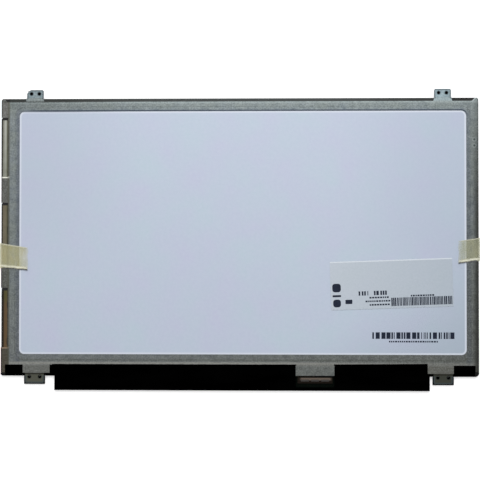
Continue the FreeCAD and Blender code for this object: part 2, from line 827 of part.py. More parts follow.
def build_connector():
    """Signal connector: an open-floored housing, a folded metal shell and a row of sprung contacts."""
    shell_wall = size("shell_thickness")
    housing_x = around(connector_middle, size("connector_width") - shell_wall * 2)
    back = board_top - size("connector_set_back")
    mouth = back - size("connector_depth")
    crown = board_rear + size("connector_height")
    slot_x = (housing_x[0] + size("connector_end"), housing_x[1] - size("connector_end"))
    slot_back = back - size("connector_wall") * 3
    contact_room = board_rear + size("contact_thickness") * 2

    housing = new_body("connector_housing")
    pad(housing, "housing_block", [rectangle(housing_x, (mouth, back))], (board_rear, crown))
    plug_slot = rectangle(slot_x, (mouth - size("fit_gap"), slot_back))
    pocket(housing, "plug_slot", [plug_slot], (board_rear, crown - size("connector_wall")))
    tail_slot = rectangle(slot_x, (slot_back, back + size("fit_gap")))
    pocket(housing, "contact_tail_slot", [tail_slot], (board_rear, contact_room))

    shell = new_body("connector_shell")
    shell_x = around(connector_middle, size("connector_width"))
    pad(shell, "shell_roof", [rectangle(shell_x, (mouth, back))], (crown, crown + shell_wall))
    legs = [
        rectangle((shell_x[0], housing_x[0]), (mouth, back)),
        rectangle((housing_x[1], shell_x[1]), (mouth, back)),
    ]
    pad(shell, "shell_legs", legs, (board_rear, crown + shell_wall))
    window_y = around((mouth + back) / 2, size("connector_depth") / 3)
    third = (slot_x[1] - slot_x[0]) / 3
    windows = [
        rectangle(around(slot_x[0] + third * (step + 0.5), third - size("connector_end")), window_y)
        for step in range(3)
    ]
    pocket(shell, "shell_windows", windows, (crown, crown + shell_wall))

    contacts = new_body("connector_contacts")
    thickness = size("contact_thickness")
    bow = size("contact_bow")
    tip = mouth + size("connector_wall") * 2
    rise = (slot_back - tip) / 3
    spring = [
        (back, board_rear),
        (back, board_rear + thickness),
        (slot_back - rise / 2, board_rear + thickness),
        (tip + rise, board_rear + thickness + bow),
        (tip, board_rear + thickness + bow / 2),
        (tip, board_rear + bow / 2),
        (tip + rise, board_rear + bow),
        (slot_back - rise / 2, board_rear),
    ]
    row = size("contact_pitch") * (CONTACT_COUNT - 1)
    contact_x = around(connector_middle - row / 2, size("contact_width"))
    first = pad(contacts, "contact", [spring], contact_x, "YZ_Plane")
    pattern(contacts, first, "N_Axis", row, CONTACT_COUNT)
    return [housing, shell, contacts]


def build_wrap_film():
    """Black film over the lower edge and round the board, open over the connector."""
    body = new_body("board_wrap_film")
    thickness = size("film_thickness")
    over = size("wrap_overhang")
    gap = size("fit_gap")
    upper = strip_top + size("sheet_gap") + size("wrap_overlap")
    strip_low = bottom + gap
    shoulder_left = guide_left + size("wrap_shoulder_inset")
    shoulder_right = guide_right - size("wrap_shoulder_inset")
    shoulder_top = frame_bottom - gap
    strip_left = left + size("side_leg_width_left") + gap
    strip_right = right - size("side_leg_width_right") - gap
    film_left = board_left - over
    film_right = board_right + over
    fold = board_bottom - gap / 2
    notch_top = bottom + size("ear_plate_inset") + gap
    notch_half = size("bottom_ear_width") / 2 + gap
    sheet_outline = [
        (shoulder_left, upper),
        (shoulder_left, shoulder_top),
        (strip_left, shoulder_top),
        (strip_left, strip_low),
        (ear_left - notch_half, strip_low),
        (ear_left - notch_half, notch_top),
        (ear_left + notch_half, notch_top),
        (ear_left + notch_half, strip_low),
        (film_left, strip_low),
        (film_left, fold - thickness),
        (film_right, fold - thickness),
        (film_right, strip_low),
        (ear_right - notch_half, strip_low),
        (ear_right - notch_half, notch_top),
        (ear_right + notch_half, notch_top),
        (ear_right + notch_half, strip_low),
        (strip_right, strip_low),
        (strip_right, shoulder_top),
        (shoulder_right, shoulder_top),
        (shoulder_right, upper),
    ]
    opening_top = bottom + size("connector_tab_inset")
    opening = rectangle(
        around(connector_middle, size("connector_tab_width")),
        (opening_top - size("connector_cutout_drop"), opening_top),
    )
    film_front = tft_front - size("film_thickness") - thickness
    pad(body, "wrap_rear", [sheet_outline, opening], (reflector_rear, reflector_rear + thickness))
    wall = rectangle((film_left, film_right), (fold - thickness, fold))
    pad(body, "wrap_fold", [wall], (film_front, reflector_rear + thickness))
    leg = rectangle((film_left, film_right), (fold - thickness, glass_bottom - size("fit_gap") * 2))
    pad(body, "wrap_front", [leg], (film_front, film_front + thickness))
    bends = cross_edges(body.Shape, fold - thickness, film_front)
    bends += cross_edges(body.Shape, fold - thickness, reflector_rear + thickness)
    fillet(body, "wrap_bends", bends, thickness * WRAP_FOLD_SHARE)
    return [body]


def frame_outline():
    """Plan of the frame's main sheet, with the bases of its ears and the tab at the connector."""
    corner_right = right - size("corner_leg_width_right")
    web = size("sheet_metal")
    tab_top = top + size("fit_gap") / 2 + web
    half = size("top_ear_width") / 2
    flare = size("top_ear_base_flare")
    plate_end = bottom + size("ear_plate_inset")
    ear_half = size("bottom_ear_width") / 2
    plate_left = ear_left - ear_half - size("ear_plate_outer_side_left")
    plate_right = ear_right + ear_half + size("ear_plate_outer_side_right")
    plate_inner = ear_half + size("ear_plate_inner_side")
    tab_left, tab_right = around(connector_middle, size("connector_tab_width"))
    tab_end = bottom + size("connector_tab_inset")
    leg_end = bottom + size("side_leg_inset_right")
    leg_right = right - size("side_leg_width_right")
    corners = [(strip_edge, frame_top)]
    for middle in (ear_left, ear_right):
        corners += [
            (middle - half - flare, frame_top),
            (middle - half, tab_top),
            (middle + half, tab_top),
            (middle + half + flare, frame_top),
        ]
    corners += [
        (corner_right - size("frame_inset_top"), frame_top),
        (corner_right, top),
        (right, top),
        (right, leg_end),
        (leg_right, leg_end),
        (leg_right, frame_bottom),
    ]
    drops = (
        (ear_right - plate_inner, plate_right, plate_end),
        (tab_left, tab_right, tab_end),
        (plate_left, ear_left + plate_inner, plate_end),
    )
    for drop_left, drop_right, end in drops:
        corners += [(drop_right, frame_bottom), (drop_right, end)]
        corners += [(drop_left, end), (drop_left, frame_bottom)]
    corners.append((strip_edge, frame_bottom))
    return corners


def add_ears(body):
    """Mounting ears, each on a web that steps down from the frame, with two screw holes."""
    metal = size("sheet_metal")
    gap = size("fit_gap")
    ear_span = (ear_front, ear_front + metal)
    webs, ears, corners, holes = [], [], [], []
    for middle in (ear_left, ear_right):
        rows = (
            ("top_ear", 1, top, top + gap / 2, top + size("top_ear_height"), size("top_ear_hole_rise")),
            ("bottom_ear", -1, bottom, bottom + size("ear_plate_inset"), bottom - size("bottom_ear_height"),
             -size("bottom_ear_hole_rise")),
        )
        for name, way, edge, inner, end, rise in rows:
            sides = around(middle, size(f"{name}_width"))
            webs.append(rectangle(sides, (inner, inner + metal * way)))
            ears.append(rectangle(sides, (inner, end)))
            corners += [(side, end) for side in sides]
            holes += [(x, edge + rise) for x in around(middle, size(f"{name}_hole_pitch"))]
    pad(body, "ear_webs", webs, (ear_front, flange_rear))
    pad(body, "ears", ears, ear_span)
    nose, *round_corners = corners
    chamfer(body, "ear_nose", corner_edges(body.Shape, [nose]), size("top_ear_chamfer"))
    fillet(body, "ear_corners", corner_edges(body.Shape, round_corners), size("ear_corner_radius"))
    drill(body, "ear_holes", holes, size("ear_hole_radius"), ear_span)


def build_rear_frame():
    """Stamped steel frame: lip, flange, side walls, cut-outs for the gate films, ears and dimples."""
    body = new_body("rear_frame")
    metal = size("sheet_metal")
    bend = size("bend_radius")
    window = rectangle((window_left, window_right), (window_bottom, window_top))
    lip = size("lip_width")
    step_y = (window_bottom - size("lip_width_bottom"), window_top + lip)
    step = rectangle((window_left - lip, window_right + lip), step_y)
    lip_edge = rectangle(
        (window_left - lip - metal, window_right + lip + metal), (step_y[0] - metal, step_y[1] + metal)
    )
    pad(body, "flange", [frame_outline(), step], (flange_front, flange_rear))
    pad(body, "lip", [lip_edge, window], (reflector_rear, reflector_rear + metal))

    leg_left = left + size("side_leg_width_left")
    leg_end = bottom + size("side_leg_inset_left")
    corner = left + size("corner_leg_width_left")
    strip = [
        (left, top),
        (left, leg_end),
        (leg_left, leg_end),
        (leg_left, frame_bottom),
        (strip_edge + metal, frame_bottom),
        (strip_edge + metal, frame_top),
        (corner + size("frame_inset_top"), frame_top),
        (corner, top),
    ]
    pad(body, "left_strip", [strip], (strip_front, strip_front + metal))
    web = rectangle((strip_edge, strip_edge + metal), (frame_bottom, frame_top))
    pad(body, "left_web", [web], (strip_front, flange_rear))
    wall_front = size("wall_front_inset")
    left_wall = rectangle((left, left + metal), (leg_end, top))
    pad(body, "left_wall", [left_wall], (wall_front, strip_front + metal))
    right_wall = rectangle((right - metal, right), (bottom + size("side_leg_inset_right"), top))
    pad(body, "right_wall", [right_wall], (wall_front, flange_rear))

    inner_bends = long_edges(body.Shape, left + metal, strip_front)
    inner_bends += long_edges(body.Shape, right - metal, flange_front)
    fillet(body, "inner_bends", inner_bends, bend)
    outer_bends = long_edges(body.Shape, left, strip_front + metal)
    outer_bends += long_edges(body.Shape, right, flange_rear)
    fillet(body, "outer_bends", outer_bends, bend + metal)
    fillet(body, "window_corners", corner_edges(body.Shape, window), size("window_radius"))
    fillet(body, "step_corners", corner_edges(body.Shape, step), size("window_radius") + lip)

    clear = size("fit_gap")
    cutout_x = (left - clear, strip_edge - clear)
    cutouts = [rectangle(cutout_x, around(middle, size("gate_cutout_length"))) for middle in gate_middles()]
    pocket(body, "gate_cutouts", cutouts, (wall_front, strip_front + metal))

    trim = size("corner_trim")
    corners = [
        [(edge, top - trim), (edge + trim * way, top), (edge + trim * way, top + clear),
         (edge - clear * way, top + clear), (edge - clear * way, top - trim)]
        for edge, way in ((left, 1), (right, -1))
    ]
    pocket(body, "upper_corners", corners, (wall_front, flange_rear))

    dimple_x = right - size("dimple_inset")
    dimple_top = top - size("dimple_drop")
    dimples = [(dimple_x, dimple_top), (dimple_x, dimple_top - size("dimple_pitch"))]
    dimple_span = (flange_rear - size("dimple_depth"), flange_rear)
    drill(body, "dimples", dimples, size("dimple_radius"), dimple_span)
    add_ears(body)
    return [body]


def tape_profile(mirror, edge, reach, heights):
    """Section of a tape that wraps a side edge and drapes inwards over the frame's steps."""
    thickness = size("tape_thickness")
    drape, wall_end = heights
    inner = [(edge, wall_end), *drape, (reach, drape[-1][1])]
    outer = [(reach, drape[-1][1] + thickness)]
    outer += [(x, z + thickness) for x, z in reversed(drape[1:])]
    outer += [(edge - thickness * mirror, drape[0][1] + thickness), (edge - thickness * mirror, wall_end)]
    return inner + outer


def build_tape(label, mirror, edge, reach, drape, places):
    """One tape, cut to a slanted strip with a torn inner end."""
    middle, width, slant = places
    wall_end = size("wall_front_inset")
    body = new_body(label)
    half = width / 2 + slant
    span = (-(middle + half), -(middle - half))
    pad(body, f"{label}_drape", [tape_profile(mirror, edge, reach, (drape, wall_end))], span, "XZ_Plane")
    tear = size("tape_tear")
    clear = size("fit_gap")
    outside = edge - clear * mirror
    beyond = reach + clear * mirror
    upper_outer = middle + width / 2 + slant / 2
    upper_inner = middle + width / 2 - slant / 2
    lower_outer = middle - width / 2 + slant / 2
    lower_inner = middle - width / 2 - slant / 2
    high = middle + half + clear
    low = middle - half - clear
    trims = [
        [(outside, upper_outer), (beyond, upper_inner), (beyond, high), (outside, high)],
        [(outside, lower_outer), (outside, low), (beyond, low), (beyond, lower_inner)],
        [(beyond, upper_inner + clear), (reach - tear * mirror, low), (beyond, low)],
    ]
    for number, trim in enumerate(trims, start=1):
        pocket(body, f"{label}_trim_{number}", [trim], (front, flange_rear + clear))
    return body


def build_tapes():
    """Strips of clear tape over the left and right edges, down onto the reflector sheet."""
    strip_rear = strip_front + size("sheet_metal")
    lip_rear = reflector_rear + size("sheet_metal")
    lip = size("lip_width")
    slope = size("fit_gap") * 2
    left_drape = [
        (left, strip_rear),
        (strip_edge - slope, strip_rear),
        (strip_edge, flange_rear),
        (window_left - lip, flange_rear),
        (window_left - lip + slope, lip_rear),
        (window_left, lip_rear),
        (window_left + slope, reflector_rear),
    ]
    right_drape = [
        (right, flange_rear),
        (window_right + lip, flange_rear),
        (window_right + lip - slope, lip_rear),
        (window_right, lip_rear),
        (window_right - slope, reflector_rear),
    ]
    left_places = (-size("tape_left_drop"), size("tape_left_width"), size("tape_left_slant"))
    right_places = (-size("tape_right_drop"), size("tape_right_width"), size("tape_right_slant"))
    left_reach = left + size("tape_left_reach")
    right_reach = right - size("tape_right_reach")
    return [
        build_tape("side_tape_left", 1, left, left_reach, left_drape, left_places),
        build_tape("side_tape_right", -1, right, right_reach, right_drape, right_places),
    ]


def build_label():
    """Blank label on the reflector sheet, stuck on with a slight turn."""
    low_x = window_right - size("label_inset_right") - size("label_width")
    low_y = window_bottom + size("label_rise")
    label = plate(
        "product_label",
        (low_x, low_x + size("label_width")),
        (low_y, low_y + size("label_height")),
        (reflector_rear, reflector_rear + size("label_thickness")),
    )
    label.Placement.Rotation = FreeCAD.Rotation(FreeCAD.Vector(0, 0, 1), LABEL_TURN)
    return [label]


def write_parts(parts):
    """Stop if any object failed, then write each piece to its own file."""
    doc.recompute()
    for item in doc.Objects:
        if "Invalid" in item.State or "Error" in item.State:
            raise RuntimeError(f"{item.Label} failed: {item.State}")
    for part in parts:
        if part.Shape.isNull() or not part.Shape.isValid() or not part.Shape.Solids:
            raise RuntimeError(f"{part.Label} has no valid solid")
    os.makedirs("parts", exist_ok=True)
    for part in parts:
        part.Shape.exportStep(f"parts/{part.Label}.step")


write_parts(
    build_rear_frame()
    + build_mould_frame()
    + build_cell()
    + build_border_tapes()
    + build_optical_sheets()
    + build_backlight()
    + build_films()
    + build_board()
    + build_connector()
    + build_wrap_film()
    + build_tapes()
    + build_label()
)
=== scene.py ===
"""Looks of a slim laptop screen panel that lies face down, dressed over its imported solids.

Lengths are millimetres in the panel's own frame, and MM turns them into metres. X runs along the panel's
width, Y up its height and Z from its front face, which is underneath, to its rear.
"""
import json
import math
import random

import bpy
from mathutils import Matrix, Vector, noise


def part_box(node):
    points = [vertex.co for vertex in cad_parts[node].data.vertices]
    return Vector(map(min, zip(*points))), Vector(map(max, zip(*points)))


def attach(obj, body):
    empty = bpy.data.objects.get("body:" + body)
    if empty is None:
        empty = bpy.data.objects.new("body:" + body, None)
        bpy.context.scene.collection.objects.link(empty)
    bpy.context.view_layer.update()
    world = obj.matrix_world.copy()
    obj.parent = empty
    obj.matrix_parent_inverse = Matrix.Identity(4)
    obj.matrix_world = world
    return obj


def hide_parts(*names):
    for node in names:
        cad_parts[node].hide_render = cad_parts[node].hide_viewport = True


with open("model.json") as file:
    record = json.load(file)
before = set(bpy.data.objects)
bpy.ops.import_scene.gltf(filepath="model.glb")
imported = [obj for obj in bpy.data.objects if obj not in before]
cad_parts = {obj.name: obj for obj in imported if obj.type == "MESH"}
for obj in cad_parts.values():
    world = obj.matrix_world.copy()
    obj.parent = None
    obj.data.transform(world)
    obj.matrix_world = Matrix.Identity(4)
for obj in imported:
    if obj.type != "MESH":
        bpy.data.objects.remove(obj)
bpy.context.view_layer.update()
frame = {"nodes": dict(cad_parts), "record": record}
MM = 0.001
# A limit past the panel's edges on every side, for masks that are open at one end
FAR = 400


def box_mm(node):
    """Lowest and highest corner of a solid in millimetres."""
    low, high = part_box(node)
    return low / MM, high / MM


# Outline of the panel and the levels of its rear, as the solids have them
FRAME_LOW, FRAME_HIGH = box_mm("rear_frame")
MOULD_LOW, MOULD_HIGH = box_mm("mould_frame")
SHELL_LOW, SHELL_HIGH = box_mm("connector_shell")
WRAP_LOW, WRAP_HIGH = box_mm("board_wrap_film")
SHEET_REAR = box_mm("reflector_sheet")[1].z
SHEET_METAL = 0.3
STRIP_DROP = 0.35
FLANGE_REAR = FRAME_HIGH.z
LIP_REAR = SHEET_REAR + SHEET_METAL
STRIP_REAR = FLANGE_REAR - STRIP_DROP
WALL_FOOT = FRAME_LOW.z

# Window in the rear frame, with the drawn step round it
WINDOW_LOW = Vector((-166.35, -90.05))
WINDOW_HIGH = Vector((170.75, 93.6))
WINDOW_RADIUS = 4.0
LIP_WIDTH = 3.4
LIP_WIDTH_BOTTOM = 4.4
STEP_LOW = WINDOW_LOW - Vector((LIP_WIDTH, LIP_WIDTH_BOTTOM))
STEP_HIGH = WINDOW_HIGH + Vector((LIP_WIDTH, LIP_WIDTH))
STEP_RADIUS = WINDOW_RADIUS + LIP_WIDTH

# Edges of the frame's main sheet and of the strip down its left side, the mitre at its upper right corner,
# and the point midway between its two dimples
STRIP_EDGE = FRAME_LOW.x + 5.65
FLANGE_TOP = MOULD_HIGH.y - 2.35
FLANGE_BOTTOM = MOULD_LOW.y + 8.45
MITRE_RIGHT = FRAME_HIGH.x - 2.65
DIMPLE = Vector((FRAME_HIGH.x - 3.2, MOULD_HIGH.y - 33.7))
DIMPLE_PITCH = 4.5

# Mounting ears: the middle of each pair, half their widths, and their hole rows
EAR_LEFT = -154.6
EAR_RIGHT = 153.2
UPPER_HALF = 6.3
LOWER_HALF = 7.15
UPPER_HOLES = Vector((2.95, MOULD_HIGH.y + 3.95))
LOWER_HOLES = Vector((4.0, MOULD_LOW.y - 0.8))
EAR_RADIUS = 1.2
EAR_BEND = MOULD_LOW.y + 1.6
EAR_FRONT = 1.7

# Label, found from the box round its turned outline
LABEL_TURN = math.radians(2.0)
LABEL_LOW, LABEL_HIGH = box_mm("product_label")
LABEL_CENTRE = ((LABEL_LOW + LABEL_HIGH) / 2).to_2d()
LABEL_SPAN = Matrix((
    (math.cos(LABEL_TURN), math.sin(LABEL_TURN)),
    (math.sin(LABEL_TURN), math.cos(LABEL_TURN)),
))
LABEL_SIZE = LABEL_SPAN.inverted() @ (LABEL_HIGH - LABEL_LOW).to_2d()
PRINT_LIFT = 0.02

# Gate films: their thickness, and how much lower they sit than their solids
GATE_FILM = 0.1
GATE_SLACK = 0.45


def linear(code):
    """An sRGB hex colour as linear red, green, blue and alpha."""
    channels = [int(code[place:place + 2], 16) / 255 for place in (1, 3, 5)]
    return (*[c / 12.92 if c <= 0.04045 else ((c + 0.055) / 1.055) ** 2.4 for c in channels], 1.0)


def add_node(tree, kind, inputs=None, **settings):
    """Add a node, set its properties, and fill its inputs with values or links to other nodes' outputs."""
    node = tree.nodes.new(kind)
    for name, value in settings.items():
        setattr(node, name, value)
    for name, value in (inputs or {}).items():
        if isinstance(value, bpy.types.NodeSocket):
            tree.links.new(value, node.inputs[name])
        else:
            node.inputs[name].default_value = value
    return node


def new_material(name, **sockets):
    """A material with its principled shader, whose constant values go straight onto its own sockets."""
    material = bpy.data.materials.new(name)
    material.use_nodes = True
    tree = material.node_tree
    shader = tree.nodes["Principled BSDF"]
    for socket, value in sockets.items():
        shader.inputs[socket.replace("_", " ")].default_value = value
    return material, tree, shader


def panel_place(tree):
    """The point on the panel, in millimetres."""
    point = add_node(tree, "ShaderNodeTexCoord").outputs["Object"]
    place = add_node(tree, "ShaderNodeVectorMath", {0: point, "Scale": 1 / MM}, operation="SCALE")
    return place.outputs[0]


def folded(tree, value, middle):
    """How far a value lies from a middle, on either side."""
    offset = add_node(tree, "ShaderNodeMath", {0: value, 1: middle}, operation="SUBTRACT")
    return add_node(tree, "ShaderNodeMath", {0: offset.outputs[0]}, operation="ABSOLUTE").outputs[0]


def between(tree, value, low, high, soft):
    """A mask that is 1 where a value lies between two limits, with soft ends."""
    rise = add_node(tree, "ShaderNodeMapRange", {0: value, 1: low - soft, 2: low + soft},
                    interpolation_type="SMOOTHSTEP")
    fall = add_node(tree, "ShaderNodeMapRange", {0: value, 1: high - soft, 2: high + soft, 3: 1.0, 4: 0.0},
                    interpolation_type="SMOOTHSTEP")
    mask = add_node(tree, "ShaderNodeMath", {0: rise.outputs[0], 1: fall.outputs[0]}, operation="MULTIPLY")
    return mask.outputs[0]


def distance_round(tree, place, low, high, radius):
    """How far a point lies outside a rectangle with round corners, seen from the rear: below 0 inside it."""
    centre = (low + high) / 2
    half = (high - low) / 2 - Vector((radius, radius))
    offset = add_node(tree, "ShaderNodeVectorMath", {0: place, 1: (*centre, 0)}, operation="SUBTRACT")
    mirrored = add_node(tree, "ShaderNodeVectorMath", {0: offset.outputs[0]}, operation="ABSOLUTE")
    corner = add_node(tree, "ShaderNodeVectorMath", {0: mirrored.outputs[0], 1: (*half, 0)},
                      operation="SUBTRACT")
    flat = add_node(tree, "ShaderNodeVectorMath", {0: corner.outputs[0], 1: (1, 1, 0)},
                    operation="MULTIPLY")
    outer = add_node(tree, "ShaderNodeVectorMath", {0: flat.outputs[0], 1: (0, 0, 0)}, operation="MAXIMUM")
    length = add_node(tree, "ShaderNodeVectorMath", {0: outer.outputs[0]}, operation="LENGTH")
    parts = add_node(tree, "ShaderNodeSeparateXYZ", {0: flat.outputs[0]})
    widest = add_node(tree, "ShaderNodeMath", {0: parts.outputs[0], 1: parts.outputs[1]},
                      operation="MAXIMUM")
    inner = add_node(tree, "ShaderNodeMath", {0: widest.outputs[0], 1: 0.0}, operation="MINIMUM")
    total = add_node(tree, "ShaderNodeMath", {0: length.outputs["Value"], 1: inner.outputs[0]},
                     operation="ADD")
    reach = add_node(tree, "ShaderNodeMath", {0: total.outputs[0], 1: radius}, operation="SUBTRACT")
    return reach.outputs[0]


def distance_point(tree, x, y, point):
    """How far a place lies from a point, seen from the rear."""
    flat = add_node(tree, "ShaderNodeCombineXYZ", {0: x, 1: y}).outputs[0]
    reach = add_node(tree, "ShaderNodeVectorMath", {0: flat, 1: (*point, 0)}, operation="DISTANCE")
    return reach.outputs["Value"]


def grain(tree, place, size, low, high):
    """Noise of one grain size in millimetres, spread over a range."""
    texture = add_node(tree, "ShaderNodeTexNoise", {"Vector": place, "Scale": 1 / size, "Detail": 3.0})
    spread = add_node(tree, "ShaderNodeMapRange", {0: texture.outputs[0], 1: 0.3, 2: 0.7, 3: low, 4: high})
    return spread.outputs[0]


def paint(tree, shader, ground, layers):
    """Give a shader its colour: a ground, with colours laid over it, each by its strength and its masks."""
    colour = linear(ground)
    for strength, code, *masks in layers:
        amount = strength
        for mask in masks:
            amount = add_node(tree, "ShaderNodeMath", {0: mask, 1: amount}, operation="MULTIPLY").outputs[0]
        inputs = {0: amount, 6: colour, 7: linear(code)}
        colour = add_node(tree, "ShaderNodeMix", inputs, data_type="RGBA").outputs[2]
    tree.links.new(colour, shader.inputs["Base Color"])


def ear_layers(tree, aside, y):
    """Dark rims round the mounting ears and shade round their holes, mirrored about the middle of each ear.
    The way aside is taken from the middle between the left and right ears."""
    across = folded(tree, aside, (EAR_RIGHT - EAR_LEFT) / 2)
    spot = add_node(tree, "ShaderNodeCombineXYZ", {0: across, 1: y}).outputs[0]
    layers = []
    for half, holes, plate, shown in (
        (UPPER_HALF, UPPER_HOLES, (MOULD_HIGH.y - 4, FRAME_HIGH.y), (MOULD_HIGH.y - 0.4, FRAME_HIGH.y + 1)),
        (LOWER_HALF, LOWER_HOLES, (FRAME_LOW.y, MOULD_LOW.y + 4), (FRAME_LOW.y - 1, MOULD_LOW.y + 0.4)),
    ):
        rim = distance_round(tree, spot, Vector((-half, plate[0])), Vector((half, plate[1])), EAR_RADIUS)
        hole = distance_point(tree, across, y, holes)
        layers.append((0.7, "#3a4347", between(tree, rim, -1.0, 0.5, 0.4), between(tree, y, *shown, 0.4)))
        layers.append((0.85, "#10181a", between(tree, hole, -1.0, 1.5, 0.45)))
    return layers


def corner_layers(tree, x, y):
    """A painted highlight on the mitred edge at the frame's upper right corner, and the two dimples in its
    right side, painted dark in their hollows as shade, with a pale ring of painted highlight.
    """
    slope = add_node(tree, "ShaderNodeMath", {0: x, 1: y}, operation="SUBTRACT").outputs[0]
    mitre = MITRE_RIGHT - MOULD_HIGH.y
    beside = folded(tree, y, DIMPLE.y)
    dimple = distance_point(tree, x, beside, (DIMPLE.x, DIMPLE_PITCH / 2))
    return [
        (0.6, "#949c9d", between(tree, slope, mitre - 0.5, mitre + 1.0, 0.3),
         between(tree, y, FLANGE_TOP - 0.6, MOULD_HIGH.y + 1, 0.3)),
        (0.3, "#868e8d", between(tree, dimple, 0.7, 1.6, 0.3)),
        (0.85, "#333837", between(tree, dimple, -1.0, 0.8, 0.3)),
    ]


